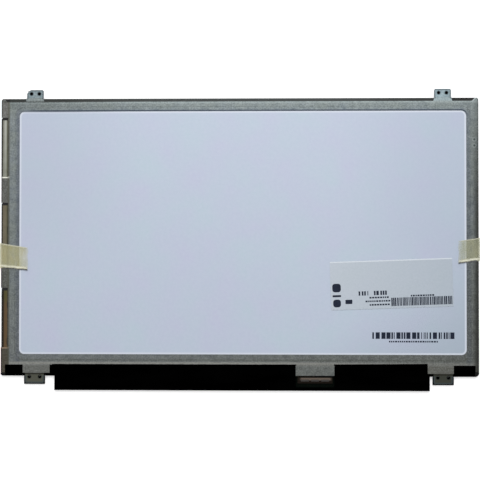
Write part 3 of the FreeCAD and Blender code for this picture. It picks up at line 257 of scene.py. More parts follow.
def zinc_steel():
    """Cold-rolled steel sheet, zinc plated: dull grey, with a mottled spangle and a fine grain of pits and
    glints, all drawn coarser than they are. The drawn lip is painted darker and bluish as shade and
    reflection, the upper and lower folds have painted highlights, the bends, steps, dimples and lower ears
    have painted shade, and the whole is painted darker downwards and towards the lower right corner, where
    the light falls off. It is browner along the left strip."""
    material, tree, shader = new_material("zinc_plated_steel", Metallic=1.0)
    place = panel_place(tree)
    axes = add_node(tree, "ShaderNodeSeparateXYZ", {0: place})
    x, y = axes.outputs[0], axes.outputs[1]
    window = distance_round(tree, place, WINDOW_LOW, WINDOW_HIGH, WINDOW_RADIUS)
    step = distance_round(tree, place, STEP_LOW, STEP_HIGH, STEP_RADIUS)
    spangle = grain(tree, place, 4.2, 0.0, 1.0)
    speck = grain(tree, place, 1.9, 0.0, 1.0)
    fleck = grain(tree, place, 1.2, 0.0, 1.0)
    pits = grain(tree, place, 1.05, -0.7, 1.0)
    glints = grain(tree, place, 1.05, 1.0, -0.7)
    lower = between(tree, y, FRAME_LOW.y, WINDOW_LOW.y - 2.5, 1.2)
    strip = between(tree, x, -FAR, STRIP_EDGE + 0.6, 0.5)
    upper = between(tree, y, STEP_HIGH.y - 2.0, MOULD_HIGH.y, 0.8)
    aside = folded(tree, x, (EAR_LEFT + EAR_RIGHT) / 2)
    outer = between(tree, aside, 130, FAR, 1)
    lower_ears = between(tree, y, -FAR, EAR_BEND, 0.5)
    # Masks of painted shade, where the light falls off downwards and towards the lower right corner
    falling = add_node(tree, "ShaderNodeMapRange", {0: y, 1: -5.0, 2: -100.0})
    slant = add_node(tree, "ShaderNodeVectorMath", {0: place, 1: (1 / 180, -1 / 100, 0)},
                     operation="DOT_PRODUCT")
    lower_right_painted_shade = add_node(tree, "ShaderNodeMapRange", {0: slant.outputs["Value"], 1: 0.2, 2: 1.7})
    # Mask for painted shade in the right side's bend, deeper downwards
    side = add_node(tree, "ShaderNodeMapRange", {0: y, 1: 95.0, 2: 20.0, 3: 0.3, 4: 0.85})
    layers = [
        (1.0, "#687079", grain(tree, place, 14.0, 0.0, 1.0)),
        (0.45, "#565c5c", speck),
        (0.35, "#878e8e", spangle),
        # Painted shade and reflection: the drawn lip round the window darker and bluish
        (0.55, "#525c69", between(tree, window, -1.0, LIP_WIDTH - 1.0, 1.4)),
        # Painted shade, darker downwards and towards the lower right corner
        (0.7, "#606263", falling.outputs[0]),
        (0.6, "#403f3a", lower_right_painted_shade.outputs[0]),
        (0.42, "#474b49", fleck),
        (0.22, "#878c86", spangle),
        # Painted shade and reflection on the lip down the right and left sides
        (0.4, "#3d434b", between(tree, x, WINDOW_HIGH.x, STEP_HIGH.x, 1.0)),
        (0.4, "#474a56", between(tree, x, STEP_LOW.x + 1.0, WINDOW_LOW.x + 1.0, 1.0)),
        # Painted shade on the upper part of the right flange
        (0.35, "#4a504f", between(tree, x, STEP_HIGH.x, FAR, 1.0), between(tree, y, 45, 90, 30)),
        (0.4, "#5f6869", upper),
        (0.35, "#565a59", upper, between(tree, x, -FAR, -110, 50)),
        # Painted shade: a dark line along the drawn step below the window
        (0.4, "#45473f", between(tree, step, -0.7, 0.5, 0.5), lower),
        # Painted highlight along the upper fold
        (0.5, "#7f8889", between(tree, y, FLANGE_TOP - 1.3, MOULD_HIGH.y, 0.5)),
        # Painted shade: a dark line along the upper fold, on the left
        (0.6, "#2b2e2c", between(tree, y, FLANGE_TOP - 0.7, FLANGE_TOP + 1, 0.25),
         between(tree, x, -FAR, -110, 35)),
        (0.7, "#6a7980", between(tree, y, MOULD_HIGH.y + 0.6, FAR, 0.4)),
        (0.4, "#7f9299", between(tree, y, MOULD_HIGH.y - 2, FAR, 0.6), between(tree, x, 130, 165, 5)),
        # Painted highlights along the lower fold
        (0.7, "#8c8c87", between(tree, y, FLANGE_BOTTOM + 0.3, FLANGE_BOTTOM + 2.0, 0.6),
         between(tree, x, -FAR, 100, 110)),
        (0.4, "#757571", between(tree, y, FLANGE_BOTTOM - 1.0, FLANGE_BOTTOM + 1.8, 0.7)),
        # Painted shade on the plates beside the lower ears
        (0.5, "#5a5851", between(tree, y, FRAME_LOW.y, FLANGE_BOTTOM - 0.5, 0.6), outer),
        (0.8, "#494741", strip),
        (0.55, "#62605f", strip, between(tree, y, 88, FAR, 3)),
        (0.6, "#393c39", strip, between(tree, y, MOULD_HIGH.y - 2.8, FAR, 0.6)),
        (0.32, "#353735", pits),
        (0.26, "#8d9290", glints),
        # Painted shade: a dark line along the window's upper edge, under the lip
        (0.95, "#333b44", between(tree, window, -1.0, 0.9, 0.35),
         between(tree, y, WINDOW_HIGH.y - 3.0, FRAME_HIGH.y, 2.5), between(tree, x, -160, FAR, 12)),
        # Painted shade on the lower ears, deeper on the right one
        (0.85, "#48493f", lower_ears, outer),
        (0.6, "#252825", lower_ears, between(tree, x, 100, FAR, 10)),
        # Painted shadow: a dark line at the step down to the lower ears
        (0.85, "#1d1c17", between(tree, y, EAR_BEND - 0.6, EAR_BEND + 0.6, 0.4), outer),
        (0.5, "#3d3322", strip, between(tree, y, FRAME_LOW.y, -84.0, 5.0)),
        # Painted highlights: pale lines on the strip where its edge catches the light, at the lower ends of
        # the first and third cut-outs
        (0.9, "#d2d2c8", strip, between(tree, y, 43.0, 44.3, 0.3)),
        (0.6, "#a08b76", strip, between(tree, y, -85.9, -84.6, 0.3)),
        # Painted shade along the frame's left edge, and along the inner edge of the left strip
        (0.6, "#2b2924", between(tree, x, -FAR, FRAME_LOW.x + 0.9, 0.5)),
        (0.6, "#4a4b43", between(tree, x, STRIP_EDGE - 0.9, STRIP_EDGE + 1.0, 0.6)),
        # Painted shade in the bend down the right side, deeper downwards
        (0.95, "#1c1c18", between(tree, x, FRAME_HIGH.x - 3.4, FAR, 2.6), side.outputs[0]),
        *ear_layers(tree, aside, y),
        *corner_layers(tree, x, y),
    ]
    paint(tree, shader, "#686f6c", layers)
    tree.links.new(grain(tree, place, 3.0, 0.36, 0.5), shader.inputs["Roughness"])
    bump = add_node(tree, "ShaderNodeBump", {"Height": speck, "Distance": 0.01 * MM, "Strength": 0.5})
    tree.links.new(bump.outputs[0], shader.inputs["Normal"])
    return material


def reflector_film():
    """White voided polyester film: satin, with a faint blue cast, cloudy tone and a pebbled skin; a painted
    highlight along the window's edge, painted shade under the lip's upper left run, and painted shade making
    it greyer towards the upper corners and the lower right one, where the light falls off."""
    material, tree, shader = new_material("white_polyester_film", Roughness=0.5, IOR=1.5)
    place = panel_place(tree)
    axes = add_node(tree, "ShaderNodeSeparateXYZ", {0: place})
    x, y = axes.outputs[0], axes.outputs[1]
    window = distance_round(tree, place, WINDOW_LOW, WINDOW_HIGH, WINDOW_RADIUS)
    speck = grain(tree, place, 2.2, 0.0, 1.0)
    # Mask of painted shade towards the lower right corner, where the light falls off
    slant = add_node(tree, "ShaderNodeVectorMath", {0: place, 1: (1.0, -1.2, 0)}, operation="DOT_PRODUCT")
    corner = add_node(tree, "ShaderNodeMapRange", {0: slant.outputs["Value"], 1: 140.0, 2: 285.0},
                      interpolation_type="SMOOTHSTEP")
    paint(tree, shader, "#bbc0d6", [
        (1.0, "#b6c6d3", grain(tree, place, 30.0, 0.0, 1.0)),
        (0.35, "#c3cbdb", speck),
        # Painted shade towards the lower right corner
        (0.75, "#9eabb9", corner.outputs[0]),
        # Painted shade towards the upper left and upper right
        (0.3, "#a8b0c2", between(tree, x, -FAR, -110, 50), between(tree, y, 0, FAR, 50)),
        (0.35, "#a2aec0", between(tree, x, 110, FAR, 50), between(tree, y, -30, FAR, 40)),
        # Painted highlight along the window's edge
        (0.9, "#d6dce8", between(tree, window, -1.3, 3.0, 0.5)),
        (0.75, "#767e90", between(tree, y, WINDOW_HIGH.y - 0.75, FRAME_HIGH.y, 0.3),
         between(tree, x, FRAME_LOW.x, -105.0, 40.0)),
    ])
    bump = add_node(tree, "ShaderNodeBump", {"Height": speck, "Distance": 0.01 * MM, "Strength": 0.3})
    tree.links.new(bump.outputs[0], shader.inputs["Normal"])
    return material


def moulded_black():
    """Black glass-filled polycarbonate, moulded: charcoal, finely sparked, with a dull sheen; painted paler
    as highlight along its upper edge and in its middle, painted blacker as shade at its right end and under
    the left strip, and blacker along the lower edge, where it is also matt."""
    material, tree, shader = new_material("moulded_polycarbonate", Specular_IOR_Level=0.25)
    place = panel_place(tree)
    axes = add_node(tree, "ShaderNodeSeparateXYZ", {0: place})
    x, y = axes.outputs[0], axes.outputs[1]
    speck = grain(tree, place, 0.6, 0.0, 1.0)
    lower = between(tree, y, -FAR, FLANGE_BOTTOM, 0.8)
    seat = between(tree, x, -FAR, STRIP_EDGE + 1, 0.8)
    paint(tree, shader, "#1b1e1d", [
        (1.0, "#272b29", speck),
        # Painted highlight along the upper edge
        (0.6, "#565b59", between(tree, y, MOULD_HIGH.y - 0.5, FAR, 0.3)),
        # Painted light: paler in the middle, where the light is strongest
        (0.5, "#454a4a", between(tree, x, -100, 110, 40)),
        # Painted shade at the right end
        (0.85, "#070909", between(tree, x, EAR_RIGHT + UPPER_HALF, FAR, 0.8)),
        (0.9, "#020202", lower),
        # Painted shade under the left strip, for the dark slits
        (0.9, "#020202", seat),
    ])
    dull = add_node(tree, "ShaderNodeMix", {0: lower, 2: grain(tree, place, 5.0, 0.4, 0.6), 3: 0.9})
    tree.links.new(dull.outputs[0], shader.inputs["Roughness"])
    bump = add_node(tree, "ShaderNodeBump", {"Height": speck, "Distance": 0.02 * MM, "Strength": 0.5})
    tree.links.new(bump.outputs[0], shader.inputs["Normal"])
    return material


def black_film():
    """Matt black polyester film: almost no shine, with long shallow ripples where it is stretched."""
    material, tree, shader = new_material("matt_black_film", Roughness=0.8, Specular_IOR_Level=0.0)
    place = panel_place(tree)
    long = add_node(tree, "ShaderNodeMapping", {"Vector": place, "Scale": (0.25, 1, 1)})
    ripple = grain(tree, long.outputs[0], 9.0, 0.0, 1.0)
    paint(tree, shader, "#000000", [(1.0, "#020202", ripple)])
    bump = add_node(tree, "ShaderNodeBump", {"Height": ripple, "Distance": 0.25 * MM, "Strength": 0.5})
    tree.links.new(bump.outputs[0], shader.inputs["Normal"])
    return material


def amber_film():
    """Amber polyimide under a green-grey cover coat, with painted shade in its fold and along the strip's
    edge;
    the upper two films are painted lighter and greyer where more light falls, the uppermost most, with a
    painted highlight along its crown, and the lowest one is browner."""
    material, tree, shader = new_material("amber_polyimide", Roughness=0.45, Specular_IOR_Level=0.12)
    place = panel_place(tree)
    axes = add_node(tree, "ShaderNodeSeparateXYZ", {0: place})
    x, y = axes.outputs[0], axes.outputs[1]
    lane = grain(tree, place, 4.0, 0.0, 1.0)
    upper_two = between(tree, y, -30, FAR, 8)
    paint(tree, shader, "#614d36", [
        (0.7, "#4d4f2b", between(tree, y, -50.5, -30, 4)),
        # Painted light: the upper two films lighter and greyer, the uppermost most
        (1.0, "#726c5b", upper_two),
        (1.0, "#8b8d82", between(tree, y, 34, FAR, 8)),
        (0.3, "#4f4936", lane),
        # Painted highlight along the uppermost film's crown
        (0.8, "#b4b6ad", between(tree, x, FRAME_LOW.x + 2.4, FRAME_LOW.x + 4.2, 0.8),
         between(tree, y, 60, FAR, 25)),
        # Painted shade in the fold, wider on the lowest film
        (0.9, "#181611", between(tree, x, -FAR, FRAME_LOW.x + 1.2, 0.5)),
        (0.9, "#181611", between(tree, x, -FAR, FRAME_LOW.x + 2.5, 0.6), between(tree, y, -FAR, -30, 8)),
        # Painted shade along the strip's edge, on the upper two films
        (0.75, "#46472f", between(tree, x, STRIP_EDGE - 1.5, STRIP_EDGE + 1, 0.6), upper_two),
    ])
    bump = add_node(tree, "ShaderNodeBump", {"Height": lane, "Distance": 0.05 * MM, "Strength": 0.4})
    tree.links.new(bump.outputs[0], shader.inputs["Normal"])
    return material


def clear_tape():
    """Aged clear packing tape: see-through straw yellow with fine creases, greyer on the right, with a
    painted highlight along its cut edges and fold, a dark band along the lower edge painted for its shadow
    and for stuck dirt, and fading out at its torn end."""
    material, tree, shader = new_material("aged_clear_tape", Roughness=0.35, IOR=1.47)
    place = panel_place(tree)
    axes = add_node(tree, "ShaderNodeSeparateXYZ", {0: place})
    edge = add_node(tree, "ShaderNodeAttribute", attribute_name="edge").outputs["Fac"]
    cover = add_node(tree, "ShaderNodeAttribute", attribute_name="cover").outputs["Fac"]
    shadow_and_dirt = add_node(tree, "ShaderNodeAttribute", attribute_name="shadow_and_dirt").outputs["Fac"]
    narrow = add_node(tree, "ShaderNodeMapping", {"Vector": place, "Scale": (1, 0.35, 1)})
    crease = grain(tree, narrow.outputs[0], 2.5, 0.0, 1.0)
    cloud = grain(tree, place, 9.0, 0.2, 0.8)
    paint(tree, shader, "#ede6bc", [
        (1.0, "#cfc690", crease),
        (0.65, "#c3c9a6", cloud),
        (0.7, "#b6ba9e", between(tree, axes.outputs[0], 0, FAR, 10)),
        # Painted highlight along the cut edges and over the fold, and paler at the torn end
        (0.85, "#f0efdf", edge),
        # A dark band painted along the lower edge, for the shadow under the lifted edge and for stuck dirt
        (1.0, "#2a2b31", shadow_and_dirt),
    ])
    uneven = grain(tree, narrow.outputs[0], 2.5, 0.75, 1.25)
    alpha = add_node(tree, "ShaderNodeMath", {0: cover, 1: uneven}, operation="MULTIPLY")
    tree.links.new(alpha.outputs[0], shader.inputs["Alpha"])
    bump = add_node(tree, "ShaderNodeBump", {"Height": crease, "Distance": 0.1 * MM, "Strength": 0.4})
    tree.links.new(bump.outputs[0], shader.inputs["Normal"])
    return material


def label_paper():
    """Coated white label stock, a little greyer than the film that it is stuck on, darker towards its right
    end, with a pale cut edge that catches the light above and a faint shade below."""
    material, tree, shader = new_material("coated_label_paper", Roughness=0.6)
    place = panel_place(tree)
    fibre = grain(tree, place, 1.5, 0.0, 1.0)
    upright = (-math.sin(LABEL_TURN), math.cos(LABEL_TURN), 0)
    along = add_node(tree, "ShaderNodeVectorMath", {0: place, 1: upright}, operation="DOT_PRODUCT")
    rise = along.outputs["Value"]
    middle = LABEL_CENTRE.dot(Vector(upright).to_2d())
    upper = middle + LABEL_SIZE.y / 2
    lower = middle - LABEL_SIZE.y / 2
    axes = add_node(tree, "ShaderNodeSeparateXYZ", {0: place})
    shade = add_node(tree, "ShaderNodeMapRange", {0: axes.outputs[0], 1: LABEL_LOW.x, 2: LABEL_HIGH.x})
    paint(tree, shader, "#b7c1ca", [
        (1.0, "#bdc6cf", fibre),
        (0.35, "#bec4d2", grain(tree, place, 25.0, 0.0, 1.0)),
        (0.26, "#7c8e9f", shade.outputs[0]),
        (0.8, "#dfe6ed", between(tree, rise, upper - 0.8, FAR, 0.25)),
        (0.4, "#8a949f", between(tree, rise, -FAR, lower + 0.5, 0.25)),
    ])
    bump = add_node(tree, "ShaderNodeBump", {"Height": fibre, "Distance": 0.01 * MM, "Strength": 0.3})
    tree.links.new(bump.outputs[0], shader.inputs["Normal"])
    return material


def printing_ink():
    """Thermal-transfer ink: blue-black, dull, and a little worn."""
    material, tree, shader = new_material("blue_black_ink", Roughness=0.7, Specular_IOR_Level=0.2)
    place = panel_place(tree)
    paint(tree, shader, "#0c1323", [(1.0, "#1b2538", grain(tree, place, 0.8, 0.0, 1.0))])
    return material


def tinned_shell():
    """Tinned bronze sheet, stamped: a tan gleam along the crown of the connector's shell, dark below it."""
    material, tree, shader = new_material("tinned_bronze", Metallic=1.0, Roughness=0.42)
    place = panel_place(tree)
    axes = add_node(tree, "ShaderNodeSeparateXYZ", {0: place})
    wear = grain(tree, place, 1.2, 0.0, 1.0)
    paint(tree, shader, "#15120f", [
        (1.0, "#1e1915", wear),
        (0.9, "#5f554d", between(tree, axes.outputs[1], SHELL_HIGH.y - 2.1, SHELL_HIGH.y - 0.2, 0.35),
         between(tree, axes.outputs[0], SHELL_LOW.x + 2.3, SHELL_HIGH.x - 1.3, 1.2)),
    ])
    bump = add_node(tree, "ShaderNodeBump", {"Height": wear, "Distance": 0.01 * MM, "Strength": 0.4})
    tree.links.new(bump.outputs[0], shader.inputs["Normal"])
    return material


# Finishes that show little or lie inside: name, two tones, the grain's size and depth in millimetres, and
# the shader's values
SIMPLE_FINISHES = {
    # Cast sheet, flame polished: water clear, pale at its edges
    "clear_acrylic": ("polished_acrylic", "#dfe6ea", "#e8eef0", 20.0, 0.002,
                      {"Roughness": 0.1, "IOR": 1.49, "Transmission_Weight": 0.9}),
    # Extruded film with rolled ridges: a silky grey-white
    "optical_film": ("prismatic_film", "#d8dde2", "#e6eaee", 6.0, 0.01,
                     {"Roughness": 0.3, "IOR": 1.57, "Transmission_Weight": 0.4}),
    # Drawn sheet: a cool grey-green in depth and a clean gloss
    "panel_glass": ("float_glass", "#c3d3d0", "#cddbd8", 30.0, 0.001,
                    {"Roughness": 0.05, "IOR": 1.52, "Transmission_Weight": 0.9}),
    # Stretched film with a sprayed hard coat: near black, with a soft sparkle
    "polariser_film": ("antiglare_polariser", "#0d0f12", "#13161a", 0.8, 0.01,
                       {"Roughness": 0.35, "IOR": 1.5}),
    # Ground and lapped wafer: blue-grey, with a dark mirror shine
    "silicon_chip": ("bare_silicon", "#3c4048", "#4a4f58", 1.5, 0.001, {"Roughness": 0.2, "Metallic": 0.6}),
    # Screened lacquer over copper: a deep bottle green, painted almost black for the shade in the slot
    "circuit_board": ("green_solder_mask", "#020503", "#040b06", 1.6, 0.03,
                      {"Roughness": 0.7, "Specular_IOR_Level": 0.03}),
    # Transfer-moulded resin: dull black
    "chip_resin": ("moulded_epoxy", "#17181a", "#202224", 0.5, 0.02, {"Roughness": 0.6, "IOR": 1.55}),
    # Fired chips: matt tan
    "ceramic_body": ("fired_ceramic", "#8a7a63", "#9a8a70", 0.8, 0.02, {"Roughness": 0.5, "IOR": 1.7}),
    # Moulded resin: dark brown with a soft sheen
    "connector_resin": ("liquid_crystal_polymer", "#1a1612", "#241e18", 0.7, 0.02, {"Roughness": 0.6}),
    # Plated leaves: a small warm glint
    "contact_metal": ("gold_flash", "#6b552e", "#7d6538", 0.6, 0.002, {"Roughness": 0.35, "Metallic": 1.0}),
    # Cast phosphor: lemon yellow
    "led_resin": ("phosphor_resin", "#e2d27a", "#efe3a0", 0.5, 0.01, {"Roughness": 0.4}),
}


def simple_finish(name, first, second, size, depth, sockets):
    """A finish of two mingled tones with a grain of its own."""
    material, tree, shader = new_material(name, **sockets)
    place = panel_place(tree)
    speck = grain(tree, place, size, 0.0, 1.0)
    paint(tree, shader, first, [(1.0, second, speck)])
    bump = add_node(tree, "ShaderNodeBump", {"Height": speck, "Distance": depth * MM, "Strength": 0.4})
    tree.links.new(bump.outputs[0], shader.inputs["Normal"])
    return material


FINISHES = {slot: simple_finish(*values) for slot, values in SIMPLE_FINISHES.items()}
FINISHES["zinc_steel"] = zinc_steel()
FINISHES["white_film"] = reflector_film()
FINISHES["black_plastic"] = moulded_black()
FINISHES["black_film"] = black_film()
FINISHES["amber_film"] = amber_film()
FINISHES["clear_tape"] = clear_tape()
FINISHES["label_stock"] = label_paper()
FINISHES["connector_metal"] = tinned_shell()
INK = printing_ink()

for row in frame["record"]["subparts"]:
    for holder in frame["nodes"][row["node"]].material_slots:
        holder.material = FINISHES[row["material_slot"]]


def grid_piece(name, columns, rows):
    """A grid primitive of unit size, alone in the selection."""
    bpy.ops.object.select_all(action="DESELECT")
    bpy.ops.mesh.primitive_grid_add(x_subdivisions=columns, y_subdivisions=rows, size=1)
    piece = bpy.context.object
    piece.name = name
    return piece


def plate_piece(name, centre, size, turn, level, radius):
    """A plane at its size and place with round corners, alone in the selection and left in edit mode."""
    bpy.ops.object.select_all(action="DESELECT")
    bpy.ops.mesh.primitive_plane_add(size=1, location=Vector((*centre, level)) * MM, rotation=(0, 0, turn))
    piece = bpy.context.object
    piece.name = name
    piece.scale = (size[0] * MM, size[1] * MM, 1)
    bpy.ops.object.transform_apply(location=True, rotation=True, scale=True)
    bpy.ops.object.mode_set(mode="EDIT")
    bpy.ops.mesh.select_all(action="SELECT")
    bpy.ops.mesh.bevel(offset=radius * MM, segments=4, affect="VERTICES")
    return piece


def finish_piece(piece, thickness, material, node=None, crease=40):
    """Give a sheet its thickness, turn its faces outwards, smooth what is flatter than a crease, and hand it
    over to the panel's one body."""
    wall = piece.modifiers.new("thickness", "SOLIDIFY")
    wall.thickness = thickness * MM
    wall.offset = 1
    bpy.ops.object.modifier_apply(modifier=wall.name)
    bpy.ops.object.mode_set(mode="EDIT")
    bpy.ops.mesh.select_all(action="SELECT")
    bpy.ops.mesh.normals_make_consistent(inside=False)
    bpy.ops.object.mode_set(mode="OBJECT")
    bpy.ops.object.shade_smooth_by_angle(angle=math.radians(crease))
    piece.data.materials.append(material)
    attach(piece, "root")
    if node:
        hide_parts(node)


def clamped(value):
    """A value held between 0 and 1."""
    return min(max(value, 0), 1)


def fading(distance, reach):
    """1 where a distance is 0, falling to 0 at its reach."""
    return max(1 - distance / reach, 0)


def on_path(points, share):
    """The point at a share of the length of a line through points, with its corners eased."""
    easing = 0.35
    lengths = [(there - here).length for here, there in zip(points, points[1:])]
    ease = easing / sum(lengths)
    shifts = (-ease, -ease / 2, 0, ease / 2, ease)
    total = Vector((0, 0))
    for shift in shifts:
        left = clamped(share + shift) * sum(lengths)
        for here, there, length in zip(points, points[1:], lengths):
            if left <= length:
                break
            left -= length
        total += here.lerp(there, min(left / length, 1))
    return total / len(shifts)


def build_tape(name, node, path, upper, lower, body, seed):
    """A strip of tape draped down the frame's steps, torn at its inner end, lifting along its lower edge,
    with a dark band there painted for its shadow and for stuck dirt."""
    columns, rows = 110, 30
    thickness = 0.05
    torn_share = 0.05
    ragged_height = 0.35
    rim_share, rim_middle = 0.07, 0.1
    end_share = 0.16
    fold_share = 0.1
    lower_curl, lower_share = 0.55, 0.16
    upper_curl, upper_share = 0.25, 0.12
    end_curl, end_curl_share = 0.5, 0.12
    wrinkle_height = 0.06
    dark_band_share = 0.035
    piece = grid_piece(name, columns, rows)
    edge = piece.data.attributes.new("edge", "FLOAT", "POINT")
    cover = piece.data.attributes.new("cover", "FLOAT", "POINT")
    shadow_and_dirt = piece.data.attributes.new("shadow_and_dirt", "FLOAT", "POINT")
    outer, inner = path[1].x, path[-1].x
    for vertex in piece.data.vertices:
        along, across = vertex.co.x + 0.5, vertex.co.y + 0.5
        tear = 0.5 + 0.5 * noise.noise(Vector((across * 5, seed, 0)))
        tear += 0.25 * noise.noise(Vector((across * 17, seed, 4)))
        spot = on_path(path, along * (1 - torn_share * tear))
        inward = clamped((spot.x - outer) / (inner - outer))
        low = lower[0] + (lower[1] - lower[0]) * inward
        high = upper[0] + (upper[1] - upper[0]) * inward
        ragged = ragged_height * noise.noise(Vector((spot.x / 2.5, seed, 9)))
        y = low + (high - low) * across + ragged * (1 - across)
        curl = lower_curl * fading(across, lower_share) ** 2
        curl += upper_curl * fading(1 - across, upper_share) ** 2
        curl += end_curl * fading(1 - along, end_curl_share) ** 2
        wrinkle = wrinkle_height * (1 + noise.noise(Vector((spot.x / 3, y / 9, seed))))
        fold = fading(inward, fold_share)
        vertex.co = Vector((spot.x, y, spot.y + (curl + wrinkle) * (1 - fold))) * MM
        beneath = fading(abs(across - rim_middle), rim_share)
        above = fading(1 - across, rim_share)
        end = fading(1 - along, end_share)
        # A dark band along the lower edge, painted for the shadow under the lifted edge and for stuck dirt;
        # it also makes the tape less clear there
        shadow_and_dirt_band = clamped(1.9 - across / dark_band_share) * clamped(inward / fold_share - 0.5)
        body_cover = body + 0.5 * beneath + 0.25 * above + 0.2 * fold
        shadow_and_dirt.data[vertex.index].value = shadow_and_dirt_band
        # Painted highlight along the rims and over the fold, and paler at the torn end
        edge.data[vertex.index].value = max(beneath, above, fold * 0.7, end * 0.5)
        cover.data[vertex.index].value = body_cover * (1 - 0.45 * end) + 0.6 * shadow_and_dirt_band
    finish_piece(piece, thickness, FINISHES["clear_tape"], node)


def build_tapes():
    """Tapes over the left and right edges of the frame, from the side walls down to the reflector. Each
    stands off the side wall in a loose fold."""
    slope = 0.6
    clear = 0.04
    loose = 0.8
    left = FRAME_LOW.x - clear
    right = FRAME_HIGH.x + clear
    left_path = [
        Vector((left, WALL_FOOT)),
        Vector((left - loose, STRIP_REAR - 1.0)),
        Vector((left - loose, STRIP_REAR)),
        Vector((left + loose, STRIP_REAR + clear)),
        Vector((STRIP_EDGE - slope, STRIP_REAR + clear)),
        Vector((STRIP_EDGE, FLANGE_REAR + clear)),
        Vector((STEP_LOW.x, FLANGE_REAR + clear)),
        Vector((STEP_LOW.x + slope, LIP_REAR + clear)),
        Vector((WINDOW_LOW.x, LIP_REAR + clear)),
        Vector((WINDOW_LOW.x + slope, SHEET_REAR + clear)),
        Vector((box_mm("side_tape_left")[1].x, SHEET_REAR + clear)),
    ]
    build_tape("left_tape", "side_tape_left", left_path, (-6.2, -9.8), (-25.0, -26.9), 0.31, 3.7)
    right_path = [
        Vector((right, WALL_FOOT)),
        Vector((right + loose, FLANGE_REAR - 1.0)),
        Vector((right + loose, FLANGE_REAR)),
        Vector((right - loose, FLANGE_REAR + clear)),
        Vector((STEP_HIGH.x, FLANGE_REAR + clear)),
        Vector((STEP_HIGH.x - slope, LIP_REAR + clear)),
        Vector((WINDOW_HIGH.x, LIP_REAR + clear)),
        Vector((WINDOW_HIGH.x - slope, SHEET_REAR + clear)),
        Vector((box_mm("side_tape_right")[0].x, SHEET_REAR + clear)),
    ]
    build_tape("right_tape", "side_tape_right", right_path, (-2.2, -4.7), (-19.4, -21.6), 0.29, 8.2)


def fold_of(node):
    """The middle of a film's fold, seen along the panel's edge, and its outer radius."""
    low, high = box_mm(node)
    radius = (high.z - low.z) / 2
    return Vector((low.x + radius, low.z + radius)), radius


def build_folded_film(name, node, loose):
    """An amber film that bulges on the frame's edge strip, folds loosely round the panel's left edge and
    runs on in front. It is cut short at the upper end of its cut-out."""
    columns, rows = 48, 40
    bulge, bulge_share = 0.22, 0.9
    slit = 1.1
    strip_gap = 0.6
    sway_height, sway_length = 0.05, 7
    rear_share, fold_share = 0.4, 0.8
    low, high = box_mm(node)
    axis, radius = fold_of(node)
    reach = radius - GATE_FILM
    rear_end = STRIP_EDGE - strip_gap
    piece = grid_piece(name, columns, rows)
    for vertex in piece.data.vertices:
        along, across = vertex.co.x + 0.5, vertex.co.y + 0.5
        y = low.y - GATE_SLACK + (high.y - low.y - slit) * across
        if along < rear_share:
            share = along / rear_share
            x = rear_end + (axis.x - rear_end) * share
            sway = sway_height * noise.noise(Vector((y / sway_length, axis.x, 0)))
            z = axis.y + reach + sway + bulge * math.sin(math.pi * share * bulge_share) ** 2
        elif along < fold_share:
            turn = math.pi * (along - rear_share) / (fold_share - rear_share)
            x = axis.x - (reach + loose) * math.sin(turn)
            z = axis.y + reach * math.cos(turn)
        else:
            x = axis.x + (high.x - axis.x) * (along - fold_share) / (1 - fold_share)
            z = axis.y - reach
        vertex.co = Vector((x, y, z)) * MM
    finish_piece(piece, GATE_FILM, FINISHES["amber_film"], node)


def build_fold_shade(name, node, loose):
    """A black sheet inside a film's fold that stands in for the shade there: it shows as a dark slit where
    the film is cut short.
    """
    columns, rows = 24, 4
    inset = 0.12
    overrun = 0.35
    low, high = box_mm(node)
    axis, radius = fold_of(node)
    reach = radius - GATE_FILM - inset
    piece = grid_piece(name, columns, rows)
    for vertex in piece.data.vertices:
        turn = math.pi * (vertex.co.x + 0.5)
        x = axis.x - (reach + loose) * math.sin(turn)
        y = low.y - GATE_SLACK + (high.y - low.y + overrun) * (vertex.co.y + 0.5)
        vertex.co = Vector((x, y, axis.y + reach * math.cos(turn))) * MM
    finish_piece(piece, GATE_FILM, FINISHES["black_film"])


def build_gate_films():
    """The three films in the frame's left cut-outs, the upper ones folded more loosely."""
    for number, loose in ((1, 0.5), (2, 0.3), (3, 0.05)):
        node = f"gate_film_{number}"
        build_folded_film(f"folded_gate_film_{number}", node, loose)
        # A black sheet of painted shade in each fold, for the dark slit
        build_fold_shade(f"gate_film_fold_shade_{number}", node, loose)


def turned(point):
    """A place on the label, from its middle and with its turn, as a place on the panel."""
    return LABEL_CENTRE + Matrix.Rotation(LABEL_TURN, 2) @ Vector(point)


def build_label():
    """The stuck-on label, pressed down in the middle, with its rim a little raised and its corners eased."""
    lift = 0.07
    press = 0.06
    rim = 0.6
    corner = 0.8
    thickness = LABEL_HIGH.z - LABEL_LOW.z
    piece = plate_piece("blank_label", LABEL_CENTRE, LABEL_SIZE, LABEL_TURN, LABEL_LOW.z + lift, corner)
    bpy.ops.mesh.inset(thickness=rim * MM, depth=-press * MM)
    bpy.ops.object.mode_set(mode="OBJECT")
    finish_piece(piece, thickness, FINISHES["label_stock"], "product_label", 1)


def delete_faces(piece, unwanted):
    """Delete the faces of a mesh that a test picks out."""
    bpy.ops.object.mode_set(mode="EDIT")
    bpy.ops.mesh.select_mode(type="FACE")
    bpy.ops.mesh.select_all(action="DESELECT")
    bpy.ops.object.mode_set(mode="OBJECT")
    for face in piece.data.polygons:
        face.select = unwanted(face)
    bpy.ops.object.mode_set(mode="EDIT")
    bpy.ops.mesh.delete(type="FACE")
    bpy.ops.object.mode_set(mode="OBJECT")


